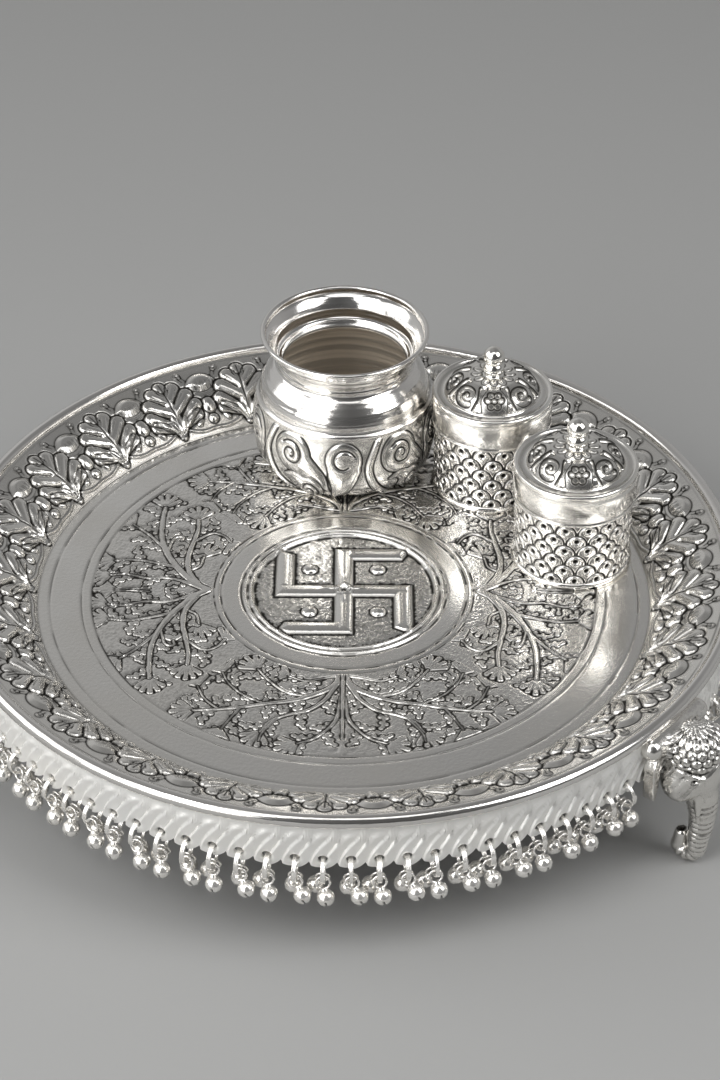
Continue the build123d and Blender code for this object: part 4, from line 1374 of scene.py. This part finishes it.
def build_lid(name, place, material):
    columns = 460
    theta = angles(columns)[None, :]
    band = np.array([
        *((LID_R - inset, LID_BOTTOM + up) for inset, up in LID_HEM),
        *((LID_R - inset, LID_TOP + up) for inset, up in LID_SHOULDER),
        (DOME_R + 0.4, LID_TOP - 0.15),
    ])
    groove = np.zeros(len(band))
    groove[[4, 5, 8]] = 0.35
    groove[[15, 16]] = 0.45
    arc = arc_run((DOME_R, LID_TOP), (DOME_FLAT_R, DOME_TOP), DOME_BOW, 64)
    r, z = arc.T
    run = run_length(arc)
    height, dark = dome_relief(run[:, None] + 0 * theta, r[:, None] + 0 * theta, theta + 0 * r[:, None])
    seat_r = np.concatenate([np.linspace(DOME_FLAT_R, 3.4, 18), [AXIS_R]])[:, None]
    petals, petal_dark = collar_relief(seat_r, theta)
    under_top = DOME_TOP - BOX_WALL
    under = np.vstack([
        [(AXIS_R, under_top)],
        arc_run((DOME_FLAT_R, under_top), (DOME_R - BOX_WALL, CUP_H), -DOME_BOW, 10),
        [(DOME_R - BOX_WALL, CUP_H), (LID_R - BOX_WALL, CUP_H)],
    ])
    points = np.vstack([
        turned(band, theta),
        raised(r, z, height, theta),
        spun_points(seat_r, DOME_TOP + petals, theta),
        turned(under, theta),
    ])
    shade = np.vstack([groove[:, None] + 0 * theta, dark, petal_dark, np.full((len(under), columns), 0.1)])
    labels = (f"lid_{name}_scrolled", name + "_lid", "silver_polished", material, "lid_" + name)
    closed_piece((points + [*place, FLOOR_Z])[::-1], shade[::-1], *labels)


# Materials

def add_node(tree, kind, inputs, **settings):
    """New shader node with its settings made, and its inputs given values or linked to other outputs."""
    made = tree.nodes.new("ShaderNode" + kind)
    for name, value in settings.items():
        setattr(made, name, value)
    for socket, value in inputs.items():
        if isinstance(value, bpy.types.NodeSocket):
            tree.links.new(value, made.inputs[socket])
        else:
            made.inputs[socket].default_value = value
    return made


def new_material(name):
    """Material with its node tree and its main shader."""
    material = bpy.data.materials.new(name)
    material.use_nodes = True
    return material, material.node_tree, material.node_tree.nodes["Principled BSDF"]


def silver(name, colour, roughness, metallic=1.0, grain=0.05, grain_scale=900.0, stretch=None):
    """Silver darkened where its attribute of tarnish and painted shade is high, with uneven polish and a fine
    grain.
    """
    material, tree, shader = new_material(name)
    shader.inputs["Metallic"].default_value = metallic
    place = add_node(tree, "TexCoord", {}).outputs["Object"]
    patch = add_node(tree, "TexNoise", {"Vector": place, "Scale": PATCH_SCALE, "Detail": 5.0}).outputs["Fac"]
    tarnish_and_shade = add_node(tree, "Attribute", {}, attribute_name="tarnish_and_shade").outputs["Fac"]
    clean = {"Factor": patch, "A": (*colour, 1.0), "B": (*np.multiply(colour, PATCH_TINT), 1.0)}
    tint = add_node(tree, "Mix", clean, data_type="RGBA").outputs["Result"]
    # Dark colour of the tarnish and of the painted shade, mixed in by the attribute
    mixed = {"Factor": tarnish_and_shade, "A": tint, "B": (*TARNISH_AND_SHADE_COLOUR, 1.0)}
    body = add_node(tree, "Mix", mixed, data_type="RGBA").outputs["Result"]
    tree.links.new(body, shader.inputs["Base Color"])
    levels = {"To Min": roughness * SMOOTHEST, "To Max": roughness * ROUGHEST}
    patches = {"Value": patch, "From Min": 0.3, "From Max": 0.7, **levels}
    polish = add_node(tree, "MapRange", patches).outputs["Result"]
    worn = add_node(tree, "Mix", {"Factor": tarnish_and_shade, "A": polish, "B": TARNISH_ROUGHNESS}).outputs["Result"]
    tree.links.new(worn, shader.inputs["Roughness"])
    if stretch:
        place = add_node(tree, "Mapping", {"Vector": place, "Scale": stretch}).outputs["Vector"]
    fine = add_node(tree, "TexNoise", {"Vector": place, "Scale": grain_scale, "Detail": 3.0}).outputs["Fac"]
    bump = add_node(tree, "Bump", {"Strength": grain, "Distance": GRAIN_DEPTH, "Height": fine})
    tree.links.new(bump.outputs["Normal"], shader.inputs["Normal"])
    return material


def dress(node, material):
    """Gives a CAD node its finished material."""
    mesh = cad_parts[node].data
    mesh.materials.clear()
    mesh.materials.append(material)


# Stage, light and camera

def build_stage():
    mesh = bpy.data.meshes.new("floor")
    corners = [(FLOOR_HALF * i, FLOOR_HALF * j, 0) for i, j in ((-1, -1), (1, -1), (1, 1), (-1, 1))]
    mesh.from_pydata(corners, [], [(0, 1, 2, 3)])
    floor = bpy.data.objects.new("floor", mesh)
    bpy.context.scene.collection.objects.link(floor)
    material, tree, shader = new_material("floor_paper")
    shader.inputs["Roughness"].default_value = 0.9
    place = add_node(tree, "TexCoord", {}).outputs["Object"]
    # Painted light: the paper's colour grows paler with distance from the middle, to make up for the lamps'
    # fall-off
    far = add_node(tree, "VectorMath", {0: place}, operation="LENGTH").outputs["Value"]
    away = add_node(tree, "MapRange", {"Value": far, "From Min": FLOOR_NEAR, "From Max": FLOOR_FAR})
    shades = {"Factor": away.outputs["Result"], "A": FLOOR_COLOUR, "B": FLOOR_FAR_COLOUR}
    paper = add_node(tree, "Mix", shades, data_type="RGBA")
    tree.links.new(paper.outputs["Result"], shader.inputs["Base Color"])
    mesh.materials.append(material)


def area_light(name, place, size, power):
    data = bpy.data.lights.new(name, "AREA")
    data.shape = "RECTANGLE"
    data.size, data.size_y = size
    data.energy = power
    lamp = bpy.data.objects.new(name, data)
    bpy.context.scene.collection.objects.link(lamp)
    lamp.location = place
    aim = Vector(LAMP_AIM) - lamp.location
    lamp.rotation_euler = aim.to_track_quat("-Z", "Y").to_euler()


def build_light():
    for name, place, size, power in LAMPS:
        area_light(name, place, size, power)
    world = bpy.data.worlds.new("studio")
    bpy.context.scene.world = world
    world.use_nodes = True
    tree = world.node_tree
    place = add_node(tree, "TexCoord", {}).outputs["Generated"]
    split = add_node(tree, "SeparateXYZ", {"Vector": place})
    level = 1.0
    for axis, low, high, start, end in WORLD_RAMPS:
        limits = {"From Min": low, "From Max": high, "To Min": start, "To Max": end}
        ramp = add_node(tree, "MapRange", {"Value": split.outputs[axis], **limits}).outputs["Result"]
        level = add_node(tree, "Math", {0: level, 1: ramp}, operation="MULTIPLY").outputs["Value"]
    tree.links.new(level, tree.nodes["Background"].inputs["Color"])


def build_camera():
    data = bpy.data.cameras.new("camera")
    data.sensor_fit = "VERTICAL"
    data.sensor_height = SENSOR_MM
    data.lens = FOCAL_PX * SENSOR_MM / IMAGE_HEIGHT_PX
    data.clip_start = 0.01
    camera = bpy.data.objects.new("camera", data)
    bpy.context.scene.collection.objects.link(camera)
    right, up = np.array(CAMERA_RIGHT), np.array(CAMERA_UP)
    back = np.cross(right, up)
    turn = Matrix([[right[i], up[i], back[i]] for i in range(3)])
    camera.matrix_world = Matrix.Translation([c * MM for c in CAMERA_AT]) @ turn.to_4x4()
    bpy.context.scene.camera = camera


def main():
    embossed = silver("silver_embossed", (0.86, 0.85, 0.83), 0.20, grain=0.10)
    polished = silver("silver_polished", (0.92, 0.91, 0.89), 0.10)
    brushed = silver("silver_brushed", (0.92, 0.91, 0.89), 0.16, grain=0.12, grain_scale=300.0,
                     stretch=(0.25, 0.25, 6.0))
    satin = silver("silver_satin", (0.93, 0.93, 0.92), 0.42, metallic=0.6)
    chased = silver("silver_chased", (0.90, 0.89, 0.87), 0.15)
    cast = silver("silver_cast", (0.88, 0.87, 0.85), 0.20, grain=0.2)
    bells = silver("silver_bells", (0.94, 0.93, 0.91), 0.18, metallic=0.8)
    spun = silver("silver_spun", (0.88, 0.87, 0.86), 0.13, grain=0.08, grain_scale=500.0,
                  stretch=(0.3, 0.3, 5.0))
    dull = silver("silver_dull", (0.72, 0.66, 0.58), 0.34, metallic=0.6)
    build_floor(embossed)
    build_wall(embossed)
    build_skirt(satin)
    build_bells(bells)
    build_kalash_bowl(chased)
    build_kalash_neck(spun)
    build_kalash_lining(dull)
    for name, place in BOXES.items():
        build_cup(name, place, chased)
        build_lid(name, place, brushed)
        dress("knob_" + name, polished)
        dress("foot_ring_" + name, polished)
    dress("rim_bead", spun)
    build_feet(cast)
    build_stage()
    build_light()
    build_camera()
    bpy.context.scene.view_settings.view_transform = "Standard"


main()
